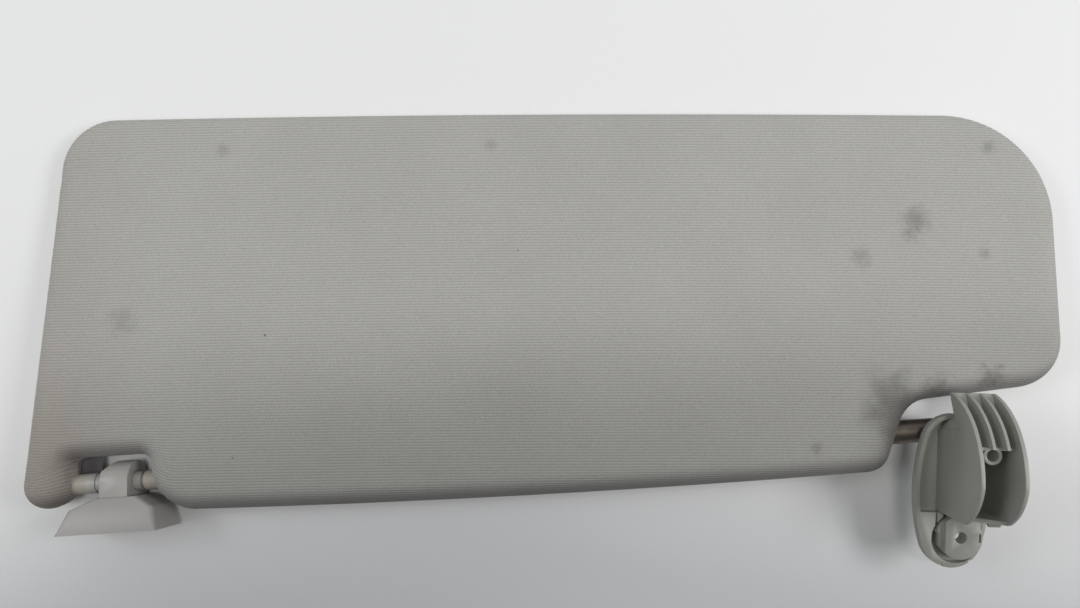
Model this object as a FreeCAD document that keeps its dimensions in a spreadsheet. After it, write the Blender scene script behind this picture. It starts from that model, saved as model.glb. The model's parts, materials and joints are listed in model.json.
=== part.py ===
"""Car sun visor, modelled lying on its front face with the roof side up.

Millimetres. The origin is the centre of the bracket's fixing hole, on the boss face that seats on the
roof. +X runs along the visor's hinge line from the clip towards the bracket, +Y towards the free edge,
+Z towards the roof.
"""
import FreeCAD
import Part
import math
import os
import Sketcher
from FreeCAD import Placement, Rotation, Vector

doc = FreeCAD.newDocument("sun_visor")
sheet = doc.addObject("Spreadsheet::Sheet", "Sizes")

SIZES = {
    # Where the hinge line and the pivot leg lie from the fixing hole
    "hole_to_leg": "42.0",
    "hole_side": "-5.4",
    "boss_height": "2.5",
    "plate_turn": "-5.5",
    "hinge_drop": "13.0",
    # Outline of the padded board, measured from the leg and the hinge line
    "left_top_x": "366.6",
    "free_edge_left": "156.4",
    "free_edge_right": "133.0",
    "right_reach": "50.9",
    "step_edge": "17.2",
    "step_x": "18.2",
    "step_depth": "13.1",
    "heel_x": "30.7",
    "heel_reach": "15.6",
    "mouth_reach": "12.6",
    "notch_right": "339.3",
    "notch_depth": "11.4",
    "lobe_x": "383.7",
    "lobe_y": "1.4",
    "lobe_radius": "11.4",
    "free_bow": "2.1",
    "heel_bow": "2.2",
    # Corner radii of the outline
    "corner_top_left": "23.0",
    "corner_top_right": "47.0",
    "corner_low_right": "20.5",
    "corner_step_inner": "14.0",
    "corner_heel": "10.5",
    "corner_mouth": "20.0",
    "corner_notch": "3.5",
    # Section of the board
    "axis_height": "11.5",
    "free_thickness": "9.0",
    "hinge_rounding": "10.4",
    "free_rounding": "4.0",
    "skin": "1.2",
    # Pivot rod
    "rod_diameter": "10.0",
    "rod_wall": "1.5",
    "rod_bend": "9.0",
    "rod_length": "104.0",
    "leg_top": "7.0",
    "running_gap": "0.06",
    "ring_groove": "0.6",
    "ring_level": "3.9",
    "ring_thickness": "1.2",
    "ring_radius": "6.3",
    "washer_thickness": "0.5",
    # Hinge housing and what it holds
    "rod_end_room": "4.0",
    "housing_length": "48.0",
    "housing_front": "9.0",
    "housing_back": "29.0",
    "housing_half_height": "7.6",
    "housing_rounding": "2.0",
    "window_margin": "10.0",
    "window_depth": "15.0",
    "window_half_height": "4.6",
    "cap_thickness": "1.6",
    "spring_strip": "1.2",
    "spring_leg": "9.0",
    "screw_shank": "1.5",
    "screw_head": "2.8",
    "screw_head_height": "0.9",
    "screw_length": "7.0",
    "bush_start": "27.5",
    "bush_to_housing": "12.5",
    "bush_wall": "1.5",
    # Wire frame in the middle plane of the foam
    "wire_diameter": "3.2",
    "wire_inset": "17.0",
    "wire_bend": "12.0",
    "wire_hold": "6.0",
    # Clip pin and the moulding that carries it
    "pin_radius": "3.95",
    "pin_end_radius": "3.0",
    "collar_radius": "4.3",
    "carrier_thickness": "3.5",
    "carrier_bar": "8.0",
    "carrier_gap": "3.0",
    "socket_radius": "4.2",
    "left_socket_out": "5.1",
    "collar_length": "3.9",
    "right_knob_out": "4.3",
    "pin_shoulder": "0.5",
    # Roof clip
    "clip_x": "353.0",
    "hook_width": "11.8",
    "hook_radius": "8.8",
    "hook_mouth": "6.4",
    "hook_chamfer": "4.0",
    "neck_low": "7.0",
    "seat_distance": "20.0",
    "seat_left": "22.8",
    "seat_right": "19.4",
    "seat_half_depth": "12.5",
    "shoulder_level": "10.5",
    "shoulder_left": "18.6",
    "shoulder_right": "16.7",
    "root_level": "6.0",
    "root_left": "8.4",
    "root_right": "9.6",
    "root_half_depth": "8.5",
    "clip_wall": "1.5",
    "flank_rounding": "2.0",
    "clip_turn": "82.0",
    "foot_thickness": "1.5",
    "foot_margin": "1.2",
    # Roof bracket: oval plate
    "plate_top": "7.8",
    "plate_bottom": "55.3",
    "plate_end_radius": "12.6",
    "plate_half_width": "15.3",
    "plate_height": "6.0",
    "plate_floor": "2.5",
    "plate_rim": "1.8",
    "plate_rounding": "3.0",
    "leg_side": "4.0",
    "boss_radius": "8.9",
    "boss_flat": "6.2",
    "boss_flat_drop": "1.9",
    "groove_radius": "10.0",
    "groove_shift": "1.1",
    "latch_width": "2.6",
    "latch_length": "5.1",
    "latch_place": "9.4",
    "latch_channel": "0.9",
    "window_reach": "2.7",
    "slit_width": "0.7",
    "slit_length": "3.4",
    "rim_nick": "1.6",
    "hole_radius": "2.4",
    "counterbore_radius": "4.6",
    "counterbore_depth": "2.0",
    # Roof bracket: finned carrier
    "fin_left": "5.2",
    "fin_right": "12.8",
    "fin_wall": "1.5",
    "rib_thickness": "1.2",
    "fin_tip": "17.2",
    "fin_tip_level": "5.2",
    "fin_throat": "9.0",
    "fin_throat_level": "8.8",
    "fin_front": "3.6",
    "fin_front_level": "13.8",
    "hook_plate": "1.5",
    "fin_crest": "31.0",
    "fin_end": "32.5",
    "web_thickness": "1.2",
    "web_place": "2.0",
    "web_level": "21.5",
    "loop_radius": "3.6",
    "loop_wall": "1.2",
    "loop_reach": "6.4",
    "catch_width": "5.0",
    "catch_reach": "1.8",
    "catch_level": "13.5",
    "end_wall_drop": "7.0",
    "carrier_floor": "1.8",
    "rim_clearance": "0.3",
    "leg_boss_top": "10.0",
    "leg_boss_wall": "1.5",
    "leg_bush_wall": "1.7",
    "leg_bush_top": "2.5",
}

FORMULAS = {
    "hinge_y": "=hole_to_leg",
    "hinge_z": "=-(boss_height + hinge_drop)",
    "leg_x": "=-hole_side",
    "rim_z": "=-boss_height",
    "floor_z": "=hinge_z - axis_height",
    "rod_radius": "=rod_diameter / 2",
    "housing_start": "=rod_length + rod_end_room - housing_length",
    "bush_length": "=housing_start - bush_start - bush_to_housing",
    "tilt": "=atan((axis_height - free_thickness / 2) / free_edge_left) / 1deg",
    "bush_radius": "=rod_radius + running_gap + bush_wall",
    "leg_bush_radius": "=rod_radius + running_gap + leg_bush_wall",
    "leg_boss_radius": "=leg_bush_radius + leg_boss_wall",
    "hook_bore": "=pin_radius + running_gap",
    "shelf_z": "=-plate_height + plate_floor",
}

for row, (alias, value) in enumerate(list(SIZES.items()) + list(FORMULAS.items()), start=1):
    sheet.set("A%d" % row, alias)
    sheet.set("B%d" % row, value)
    sheet.setAlias("B%d" % row, alias)
doc.recompute()


def size(alias):
    """The value of a size as a plain number."""
    value = sheet.get(alias)
    return float(getattr(value, "Value", value))


guesses = doc.addObject("Spreadsheet::Sheet", "Guesses")


def number_of(formula):
    """The value that a formula in the names of the sheet has now."""
    guesses.set("A1", "=" + formula.replace("$", "Sizes."))
    guesses.recompute()
    value = guesses.get("A1")
    return float(getattr(value, "Value", value))


def bind(thing, prop, formula):
    """Ties a property to a formula in the names of the sheet, written with a dollar before each name."""
    thing.setExpression(prop, formula.replace("$", "Sizes."))


def ends_of(sketch, curve):
    """The two end points of a sketch curve, with the numbers that constraints use for them."""
    return [(sketch.getPoint(curve, place), place) for place in (1, 2)]


def join(sketch, first, second, kind="Coincident"):
    """Joins the nearest ends of two curves, smoothly for a tangent, and returns the first curve's end."""
    pairs = [
        ((a - b).Length, place_a, place_b)
        for a, place_a in ends_of(sketch, first)
        for b, place_b in ends_of(sketch, second)
    ]
    distance, place_a, place_b = min(pairs)
    sketch.addConstraint(Sketcher.Constraint(kind, first, place_a, second, place_b))
    return place_a


def pin_point(sketch, curve, place, across, along):
    """Fixes a sketch point by two distances from the sketch's origin, given as formulas or None."""
    point = sketch.getPoint(curve, place)
    for kind, value, formula in (("DistanceX", point.x, across), ("DistanceY", point.y, along)):
        if formula is None:
            continue
        number = sketch.addConstraint(Sketcher.Constraint(kind, -1, 1, curve, place, value))
        bind(sketch, "Constraints[%d]" % number, formula)


def set_radius(sketch, curve, formula):
    """Ties the radius of a sketch circle or arc to a formula."""
    value = sketch.Geometry[curve].Radius
    number = sketch.addConstraint(Sketcher.Constraint("Radius", curve, value))
    bind(sketch, "Constraints[%d]" % number, formula)


def closed_chain(sketch, curves, smooth=()):
    """Joins each curve of a loop to the next one and returns the end that each shares with the next."""
    return [
        join(sketch, here, following, "Tangent" if here in smooth else "Coincident")
        for here, following in zip(curves, curves[1:] + curves[:1])
    ]


def place_at(thing, across, along, up):
    """Ties an object's position to three formulas."""
    bind(thing, "Placement.Base.x", across)
    bind(thing, "Placement.Base.y", along)
    bind(thing, "Placement.Base.z", up)


def cylinder(name, radius, height, across, along, up, axis=Vector(0, 0, 1)):
    """A Part cylinder whose radius, height and place are formulas and whose axis is given."""
    thing = doc.addObject("Part::Cylinder", name)
    bind(thing, "Radius", radius)
    bind(thing, "Height", height)
    thing.Placement = Placement(Vector(), Rotation(Vector(0, 0, 1), axis))
    place_at(thing, across, along, up)
    return thing


def block(name, length, width, height, across, along, up):
    """A Part box whose three sizes and lowest corner are formulas."""
    thing = doc.addObject("Part::Box", name)
    bind(thing, "Length", length)
    bind(thing, "Width", width)
    bind(thing, "Height", height)
    place_at(thing, across, along, up)
    return thing


def cut(name, base, *tools):
    """The base with each tool taken away."""
    for number, tool in enumerate(tools):
        thing = doc.addObject("Part::Cut", name if number == len(tools) - 1 else name + "_step")
        thing.Base = base
        thing.Tool = tool
        base = thing
    return base


def fuse(name, *things):
    """All the things made one solid."""
    thing = doc.addObject("Part::MultiFuse", name)
    thing.Shapes = list(things)
    thing.Refine = True
    return thing


def origin_plane(body, role):
    """One of the body's own origin planes."""
    return next(plane for plane in body.Origin.OriginFeatures if plane.Role == role)


def sketch_on(body, name, role="XY_Plane", offset=None):
    """A sketch on one of the body's planes, raised off it by a formula where one is given."""
    sketch = body.newObject("Sketcher::SketchObject", name)
    sketch.AttachmentSupport = [(origin_plane(body, role), "")]
    sketch.MapMode = "FlatFace"
    if offset:
        bind(sketch, "AttachmentOffset.Base.z", offset)
    return sketch


def rectangle(sketch, left, right, low, high):
    """A rectangle in a sketch between four formulas."""
    first = sketch.GeometryCount
    a, b, c, d = Vector(-1, -1, 0), Vector(1, -1, 0), Vector(1, 1, 0), Vector(-1, 1, 0)
    for start, end in ((a, b), (b, c), (c, d), (d, a)):
        sketch.addGeometry(Part.LineSegment(start, end))
    sides = list(range(first, first + 4))
    closed_chain(sketch, sides)
    for number, kind in zip(sides, ("Horizontal", "Vertical", "Horizontal", "Vertical")):
        sketch.addConstraint(Sketcher.Constraint(kind, number))
    pin_point(sketch, sides[0], 1, left, low)
    pin_point(sketch, sides[1], 2, right, high)


def polygon(sketch, corners):
    """A closed run of straight sides through corners that are given as pairs of formulas."""
    guess = [Vector(number_of(across), number_of(along), 0) for across, along in corners]
    sides = [
        sketch.addGeometry(Part.LineSegment(start, end))
        for start, end in zip(guess, guess[1:] + guess[:1])
    ]
    closed_chain(sketch, sides)
    for side, (across, along) in zip(sides, corners):
        pin_point(sketch, side, 1, across, along)


def rounded_rectangle(sketch, left, right, low, high, radius):
    """A rectangle between four formulas with its corners rounded."""
    first = sketch.GeometryCount
    centres = [Vector(2, -2, 0), Vector(2, 2, 0), Vector(-2, 2, 0), Vector(-2, -2, 0)]
    starts = [Vector(-2, -3, 0), Vector(3, -2, 0), Vector(2, 3, 0), Vector(-3, 2, 0)]
    ends = [Vector(2, -3, 0), Vector(3, 2, 0), Vector(-2, 3, 0), Vector(-3, -2, 0)]
    for number, (centre, start, end) in enumerate(zip(centres, starts, ends)):
        turn = (number - 1) * math.pi / 2
        sketch.addGeometry(Part.LineSegment(start, end))
        corner_circle = Part.Circle(centre, Vector(0, 0, 1), 1.0)
        sketch.addGeometry(Part.ArcOfCircle(corner_circle, turn, turn + math.pi / 2))
    curves = list(range(first, first + 8))
    for here, following in zip(curves, curves[1:] + curves[:1]):
        sketch.addConstraint(Sketcher.Constraint("Tangent", here, 2, following, 1))
    for number, kind in zip(curves[::2], ("Horizontal", "Vertical", "Horizontal", "Vertical")):
        sketch.addConstraint(Sketcher.Constraint(kind, number))
    for number in curves[1::2]:
        set_radius(sketch, number, radius)
    pin_point(sketch, curves[0], 1, None, low)
    pin_point(sketch, curves[2], 1, right, None)
    pin_point(sketch, curves[4], 1, None, high)
    pin_point(sketch, curves[6], 1, left, None)


def circle(sketch, radius, across, along):
    """A circle in a sketch, with its radius and centre as formulas."""
    number = sketch.addGeometry(Part.Circle(Vector(1, 1, 0), Vector(0, 0, 1), 1.0))
    set_radius(sketch, number, radius)
    pin_point(sketch, number, 3, across, along)


def pad(body, name, sketch, length, reverse=False, midplane=False):
    """Material added on a sketch."""
    thing = body.newObject("PartDesign::Pad", name)
    thing.Profile = sketch
    bind(thing, "Length", length)
    thing.Reversed = reverse
    thing.Midplane = midplane
    return thing


def pocket(body, name, sketch, length, reverse=False):
    """Material removed below a sketch, or above it where reverse is set."""
    thing = body.newObject("PartDesign::Pocket", name)
    thing.Profile = sketch
    bind(thing, "Length", length)
    thing.Reversed = reverse
    return thing


def new_body(name, across, along, up, turn=None, turn_axis=Vector(0, 0, 1)):
    """A body with its label and its place, turned about an axis by a formula in degrees."""
    body = doc.addObject("PartDesign::Body", name)
    body.Label = name
    body.Placement = Placement(Vector(), Rotation(turn_axis, 1.0))
    place_at(body, across, along, up)
    if turn:
        bind(body, "Placement.Rotation.Angle", turn)
    return body


def bowed(start, end, rise):
    """An arc from start to end that bulges to the left of its way by the rise."""
    way = (end - start).normalize()
    middle = (start + end) / 2 + Vector(-way.y, way.x, 0) * rise
    return Part.Arc(start, middle, end)


# Outline of the board: a bowed free edge, a step that clears the bracket, a notch for the clip and
# a round lobe that holds the outer end of the clip pin. It is drawn clockwise.
def board_outline():
    sketch = doc.addObject("Sketcher::SketchObject", "board_outline")
    lobe_inner = size("lobe_radius") - size("lobe_x")
    points = [
        Vector(-size("left_top_x"), size("free_edge_left"), 0),
        Vector(size("right_reach"), size("free_edge_right"), 0),
        Vector(size("right_reach"), size("step_edge"), 0),
        Vector(-size("step_x"), size("step_depth"), 0),
        Vector(-size("heel_x"), -size("heel_reach"), 0),
        Vector(-size("notch_right"), -size("mouth_reach"), 0),
        Vector(-size("notch_right"), size("notch_depth"), 0),
        Vector(lobe_inner, size("notch_depth"), 0),
        Vector(lobe_inner, size("lobe_y"), 0),
    ]
    tangent_lift = size("lobe_radius") * 0.18
    last = Vector(-size("lobe_x") - size("lobe_radius"), size("lobe_y") + tangent_lift, 0)
    lobe_foot = Vector(-size("lobe_x"), size("lobe_y") - size("lobe_radius"), 0)
    curves = [
        bowed(points[0], points[1], size("free_bow")),
        Part.LineSegment(points[1], points[2]),
        Part.LineSegment(points[2], points[3]),
        Part.LineSegment(points[3], points[4]),
        bowed(points[4], points[5], size("heel_bow")),
        Part.LineSegment(points[5], points[6]),
        Part.LineSegment(points[6], points[7]),
        Part.LineSegment(points[7], points[8]),
        Part.Arc(points[8], lobe_foot, last),
        Part.LineSegment(last, points[0]),
    ]
    numbers = [sketch.addGeometry(curve) for curve in curves]
    shared = closed_chain(sketch, numbers, smooth=numbers[7:9])
    sketch.addConstraint(Sketcher.Constraint("Vertical", numbers[7]))
    pin_point(sketch, numbers[8], 3, "-$lobe_x", "$lobe_y")
    set_radius(sketch, numbers[8], "$lobe_radius")
    places = [
        ("$right_reach", "$free_edge_right"),
        ("$right_reach", "$step_edge"),
        ("-$step_x", "$step_depth"),
        ("-$heel_x", "-$heel_reach"),
        ("-$notch_right", "-$mouth_reach"),
        ("-$notch_right", "$notch_depth"),
        (None, "$notch_depth"),
    ]
    for number, (across, along) in enumerate(places):
        pin_point(sketch, numbers[number], shared[number], across, along)
    pin_point(sketch, numbers[9], shared[9], "-$left_top_x", "$free_edge_left")
    chord = "sqrt(($left_top_x + $right_reach)^2 + ($free_edge_left - $free_edge_right)^2)"
    set_radius(sketch, numbers[0], chord + "^2 / (8 * $free_bow) + $free_bow / 2")
    chord = "sqrt(($notch_right - $heel_x)^2 + ($heel_reach - $mouth_reach)^2)"
    set_radius(sketch, numbers[4], chord + "^2 / (8 * $heel_bow) + $heel_bow / 2")
    place_at(sketch, "$leg_x", "$hinge_y", "$floor_z")
    doc.recompute()
    return sketch


def corner_radius(x, y):
    """The radius of the outline corner nearest to a point given from the leg and the hinge line."""
    corners = [
        (-size("left_top_x"), size("free_edge_left"), size("corner_top_left")),
        (size("right_reach"), size("free_edge_right"), size("corner_top_right")),
        (size("right_reach"), size("step_edge"), size("corner_low_right")),
        (-size("step_x"), size("step_depth"), size("corner_step_inner")),
        (-size("heel_x"), -size("heel_reach"), size("corner_heel")),
        (-size("notch_right"), -size("mouth_reach"), size("corner_mouth")),
        (-size("notch_right"), size("notch_depth"), size("corner_notch")),
        (size("lobe_radius") - size("lobe_x"), size("notch_depth"), size("corner_notch")),
    ]
    distance, radius = min((math.hypot(x - cx, y - cy), r) for cx, cy, r in corners)
    return radius if distance < 1.0 else None


def edge_rounding(y):
    """The rounding of the board's rim: full at the hinge line, falling to the thin free edge."""
    share = (y - size("notch_depth")) / (size("free_edge_left") - size("notch_depth"))
    share = min(1.0, max(0.0, share))
    return size("hinge_rounding") * (1 - share) + size("free_rounding") * share


def rounded(name, base, chooser):
    """The base with each edge rounded for which the chooser gives a radius at both its ends."""
    doc.recompute()
    thing = doc.addObject("Part::Fillet", name)
    thing.Base = base
    edges = []
    for number, edge in enumerate(base.Shape.Edges, start=1):
        middle = edge.valueAt((edge.FirstParameter + edge.LastParameter) / 2)
        points = [edge.valueAt(edge.FirstParameter), middle, edge.valueAt(edge.LastParameter)]
        radii = chooser(points)
        if radii:
            edges.append((number, radii[0], radii[1]))
    thing.Edges = edges
    return thing


# The board: its front half is drawn up from the front face and cut by the middle plane, which
# holds the hinge line. The back half is its mirror image. Each skin is the hollowed half.
outline = board_outline()
blank = doc.addObject("Part::Extrusion", "board_blank")
blank.Base = outline
blank.DirMode = "Custom"
blank.Dir = Vector(0, 0, 1)
blank.Solid = True
bind(blank, "LengthFwd", "3 * $axis_height")


def upright_corner(points):
    start, middle, end = points
    if abs(start.z - end.z) < 1.0 or math.hypot(start.x - end.x, start.y - end.y) > 0.01:
        return None
    radius = corner_radius(start.x - size("leg_x"), start.y - size("hinge_y"))
    return (radius, radius) if radius else None


corners = rounded("board_corners", blank, upright_corner)

over_middle = doc.addObject("Part::Box", "over_middle_plane")
bind(over_middle, "Length", "2 * ($left_top_x + $right_reach)")
bind(over_middle, "Width", "4 * $free_edge_left")
bind(over_middle, "Height", "4 * $axis_height")
middle_turn = Rotation(Vector(1, 0, 0), -size("tilt"))
middle_shift = middle_turn.multVec(Vector(-1.5 * size("left_top_x"), -2 * size("free_edge_left"), 0))
hinge_point = Vector(size("leg_x"), size("hinge_y"), size("hinge_z"))
over_middle.Placement = Placement(hinge_point + middle_shift, middle_turn)
front_blank = cut("front_blank", corners, over_middle)


def front_rim(points):
    if any(abs(point.z - size("floor_z")) > 0.01 for point in points):
        return None
    start, middle, end = points
    return edge_rounding(start.y - size("hinge_y")), edge_rounding(end.y - size("hinge_y"))


front_half = rounded("front_half", front_blank, front_rim)
doc.recompute()

parting = max(
    (face.Area, number)
    for number, face in enumerate(front_half.Shape.Faces, start=1)
    if face.Surface.TypeId == "Part::GeomPlane" and face.normalAt(0, 0).z > 0.5
)[1]
front_skin = doc.addObject("Part::Thickness", "front_skin")
front_skin.Faces = (front_half, ["Face%d" % parting])
bind(front_skin, "Value", "-$skin")
front_skin.Join = 0


def mirrored(name, source):
    """The source mirrored about the board's middle plane."""
    thing = doc.addObject("Part::Mirroring", name)
    thing.Source = source
    thing.Base = hinge_point
    thing.Normal = middle_turn.multVec(Vector(0, 0, 1))
    return thing


back_half = mirrored("back_half", front_half)
back_skin = mirrored("back_skin", front_skin)

# Pivot rod: a steel tube bent once, its leg turned down for the retaining ring.
along_x = Vector(1, 0, 0)
against_x = Vector(-1, 0, 0)


rod_path = doc.addObject("Sketcher::SketchObject", "rod_path")
rod_path.Placement = Placement(Vector(), Rotation(along_x, 90))
place_at(rod_path, "$leg_x", "$hinge_y", "$hinge_z")
bend = size("rod_bend")
leg_end = size("rim_z") + size("leg_top") - size("hinge_z")
run = rod_path.addGeometry(Part.LineSegment(Vector(-size("rod_length"), 0, 0), Vector(-bend, 0, 0)))
elbow_circle = Part.Circle(Vector(-bend, bend, 0), Vector(0, 0, 1), bend)
elbow = rod_path.addGeometry(Part.ArcOfCircle(elbow_circle, 1.5 * math.pi, 2 * math.pi))
leg = rod_path.addGeometry(Part.LineSegment(Vector(0, bend, 0), Vector(0, leg_end, 0)))
rod_path.addConstraint(Sketcher.Constraint("Tangent", run, 2, elbow, 1))
rod_path.addConstraint(Sketcher.Constraint("Tangent", elbow, 2, leg, 1))
rod_path.addConstraint(Sketcher.Constraint("Horizontal", run))
rod_path.addConstraint(Sketcher.Constraint("Vertical", leg))
set_radius(rod_path, elbow, "$rod_bend")
pin_point(rod_path, run, 1, "-$rod_length", "0")
pin_point(rod_path, leg, 2, "0", "$rim_z + $leg_top - $hinge_z")


def bent_tube(name, radius):
    """The rod's path swept with a circle: a run along the hinge line, a quarter bend and the leg."""
    section = doc.addObject("Part::Circle", name + "_section")
    bind(section, "Radius", radius)
    section.Placement = Placement(Vector(), Rotation(Vector(0, 1, 0), 90))
    place_at(section, "$leg_x - $rod_length", "$hinge_y", "$hinge_z")
    doc.recompute()
    tube = doc.addObject("Part::Sweep", name)
    tube.Sections = [section]
    tube.Spine = (rod_path, ["Edge1", "Edge2", "Edge3"])
    tube.Solid = True
    return tube


rod_outside = bent_tube("rod_outside", "$rod_radius")
rod_inside = bent_tube("rod_inside", "$rod_radius - $rod_wall")
groove_outer = cylinder(
    "groove_outer", "$rod_radius + 1", "$ring_thickness", "$leg_x", "$hinge_y", "$rim_z + $ring_level",
)
groove_inner = cylinder(
    "groove_inner", "$rod_radius - $ring_groove", "$ring_thickness",
    "$leg_x", "$hinge_y", "$rim_z + $ring_level",
)
groove = cut("ring_groove", groove_outer, groove_inner)
pivot_rod = cut("pivot_rod", rod_outside, rod_inside, groove)

# Push-on ring in the leg's groove, and the conical spring washer that it holds down on the bush.
ring_blank = cylinder(
    "ring_blank", "$ring_radius", "$ring_thickness", "$leg_x", "$hinge_y", "$rim_z + $ring_level",
)
retaining_ring = cut("retaining_ring", ring_blank, groove_inner)


def cone(name, low, high, height, up):
    thing = doc.addObject("Part::Cone", name)
    bind(thing, "Radius1", low)
    bind(thing, "Radius2", high)
    bind(thing, "Height", height)
    place_at(thing, "$leg_x", "$hinge_y", up)
    return thing


washer_height = "$ring_level - $leg_bush_top - $running_gap"
washer_outside = cone(
    "washer_outside", "$ring_radius", "$rod_radius + 2 * $washer_thickness", washer_height,
    "$rim_z + $leg_bush_top + $running_gap",
)
washer_inside = cone(
    "washer_inside", "$ring_radius - $washer_thickness", "$rod_radius + $washer_thickness", washer_height,
    "$rim_z + $leg_bush_top + $running_gap",
)
spring_washer = cut("spring_washer", washer_outside, washer_inside)

# Bush that guides the leg in the bracket.
leg_bush_outside = cylinder(
    "leg_bush_outside", "$leg_bush_radius", "$leg_bush_top + $plate_height", "$leg_x", "$hinge_y",
    "$rim_z - $plate_height",
)
leg_bush_bore = cylinder(
    "leg_bush_bore", "$rod_radius + $running_gap", "$leg_bush_top + $plate_height", "$leg_x", "$hinge_y",
    "$rim_z - $plate_height",
)
leg_bush_relief = doc.addObject("Part::Cone", "leg_bush_relief")
bind(leg_bush_relief, "Radius1", "$leg_bush_radius - 0.2")
bind(leg_bush_relief, "Radius2", "$rod_radius + $running_gap")
bind(leg_bush_relief, "Height", "$plate_floor")
place_at(leg_bush_relief, "$leg_x", "$hinge_y", "$rim_z - $plate_height")
leg_bush = cut("leg_bush", leg_bush_outside, leg_bush_bore, leg_bush_relief)

# Bush at the board's mouth, where the rod goes in.
rod_bush_outside = cylinder(
    "rod_bush_outside", "$bush_radius", "$bush_length", "$leg_x - $bush_start", "$hinge_y", "$hinge_z",
    against_x,
)
rod_bush_bore = cylinder(
    "rod_bush_bore", "$rod_radius + $running_gap", "$bush_length", "$leg_x - $bush_start", "$hinge_y",
    "$hinge_z", against_x,
)
rod_bush = cut("rod_bush", rod_bush_outside, rod_bush_bore)
bush_channel = cylinder(
    "bush_channel", "$bush_radius", "$bush_length + $bush_start", "$leg_x", "$hinge_y", "$hinge_z", against_x,
)
rod_channel = cylinder(
    "rod_channel", "$rod_radius + $skin", "$housing_start", "$leg_x", "$hinge_y", "$hinge_z", against_x,
)

# Wire frame: one loop of steel wire glued between the foam halves, its ends in the housing.
def wire_route():
    """The corners of the wire's route in the middle plane, from the leg and the hinge line."""
    inset = size("wire_inset")
    right = size("right_reach") - inset
    free = size("free_edge_right") - inset
    housing_far = size("housing_start") + size("housing_length")
    lane = size("notch_depth") + size("carrier_gap") + size("carrier_bar") + size("wire_diameter")
    return [
        Vector(-size("housing_start") - size("wire_hold"), lane, 0),
        Vector(right - size("corner_low_right"), size("step_edge") + inset, 0),
        Vector(right, size("step_edge") + inset + size("corner_low_right"), 0),
        Vector(right, free - size("corner_top_right") / 2, 0),
        Vector(right - size("corner_top_right") / 2, free, 0),
        Vector(-size("left_top_x") + inset + size("corner_top_left"), size("free_edge_left") - inset, 0),
        Vector(-size("left_top_x") + inset / 2, size("free_edge_left") - inset - size("corner_top_left"), 0),
        Vector(-size("lobe_x") + size("lobe_radius") / 2, lane + inset, 0),
        Vector(-size("lobe_x") + size("lobe_radius") + inset, lane, 0),
        Vector(size("wire_hold") - housing_far, lane, 0),
    ]


def smooth_path(points, radius):
    """Straight runs joined by tangent arcs."""
    edges = []
    last = points[0]
    for before, corner, after in zip(points, points[1:], points[2:]):
        arriving = (corner - before).normalize()
        leaving = (after - corner).normalize()
        turn = arriving.getAngle(leaving)
        reach = radius * math.tan(turn / 2)
        start = corner - arriving * reach
        end = corner + leaving * reach
        inward = (leaving - arriving).normalize()
        middle = corner + inward * (radius / math.cos(turn / 2) - radius)
        edges.append(Part.LineSegment(last, start).toShape())
        edges.append(Part.Arc(start, middle, end).toShape())
        last = end
    edges.append(Part.LineSegment(last, points[-1]).toShape())
    return Part.Wire(edges)


wire_path = doc.addObject("Part::Feature", "wire_path")
wire_path.Shape = smooth_path(wire_route(), size("wire_bend"))
wire_section = doc.addObject("Part::Circle", "wire_section")
bind(wire_section, "Radius", "$wire_diameter / 2")
route_start = wire_route()[0]
route_way = wire_route()[1] - route_start
wire_section.Placement = Placement(route_start, Rotation(Vector(0, 0, 1), route_way))
doc.recompute()
wire_frame = doc.addObject("Part::Sweep", "wire_frame")
wire_frame.Sections = [wire_section]
wire_frame.Spine = (wire_path, ["Edge%d" % (number + 1) for number in range(len(wire_path.Shape.Edges))])
wire_frame.Solid = True
wire_frame.Frenet = False
wire_frame.Placement = Placement(hinge_point, middle_turn)

# Hinge housing: a block round the rod with a window that holds the detent spring, closed by a cap.
housing_block = block(
    "housing_block", "$housing_length", "$housing_front + $housing_back", "2 * $housing_half_height",
    "$leg_x - $housing_start - $housing_length", "$hinge_y - $housing_front",
    "$hinge_z - $housing_half_height",
)


def lengthwise_edge(points):
    start, middle, end = points
    radius = size("housing_rounding")
    return (radius, radius) if abs(start.x - end.x) > 0.9 * size("housing_length") else None


housing_blank = rounded("housing_blank", housing_block, lengthwise_edge)
housing_bore = cylinder(
    "housing_bore", "$rod_radius + $running_gap", "$rod_length - $housing_start + 1",
    "$leg_x - $housing_start", "$hinge_y", "$hinge_z", against_x,
)
spring_length = "($housing_length - 2 * $window_margin)"
spring_start = "$leg_x - $housing_start - $housing_length + $window_margin"
spring_room = cylinder(
    "spring_room", "$rod_radius + $running_gap + $spring_strip", spring_length,
    spring_start, "$hinge_y", "$hinge_z", along_x,
)
spring_window = block(
    "spring_window", spring_length, "$window_depth", "2 * $window_half_height",
    spring_start, "$hinge_y", "$hinge_z - $window_half_height",
)
window_mouth = block(
    "window_mouth", spring_length, "$window_depth", "$housing_half_height",
    spring_start, "$hinge_y + $rod_radius + 2 * $spring_strip", "$hinge_z",
)
cap_recess = block(
    "cap_recess", "$housing_length - $window_margin", "$housing_back - $rod_radius - $housing_rounding",
    "$cap_thickness",
    "$leg_x - $housing_start - $housing_length + $window_margin / 2", "$hinge_y + $rod_radius",
    "$hinge_z + $housing_half_height - $cap_thickness",
)


def screw_row(name, radius, length, up):
    """Two cylinders, one at each end of the cap, where its screws go."""
    middle = "$leg_x - $housing_start - $housing_length / 2"
    return [
        cylinder(
            name + end, radius, length, middle + sign + "($housing_length / 2 - 0.72 * $window_margin)",
            "$hinge_y + $rod_radius + ($housing_back - $rod_radius) / 2", up,
        )
        for end, sign in (("_left", "-"), ("_right", "+"))
    ]


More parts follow.
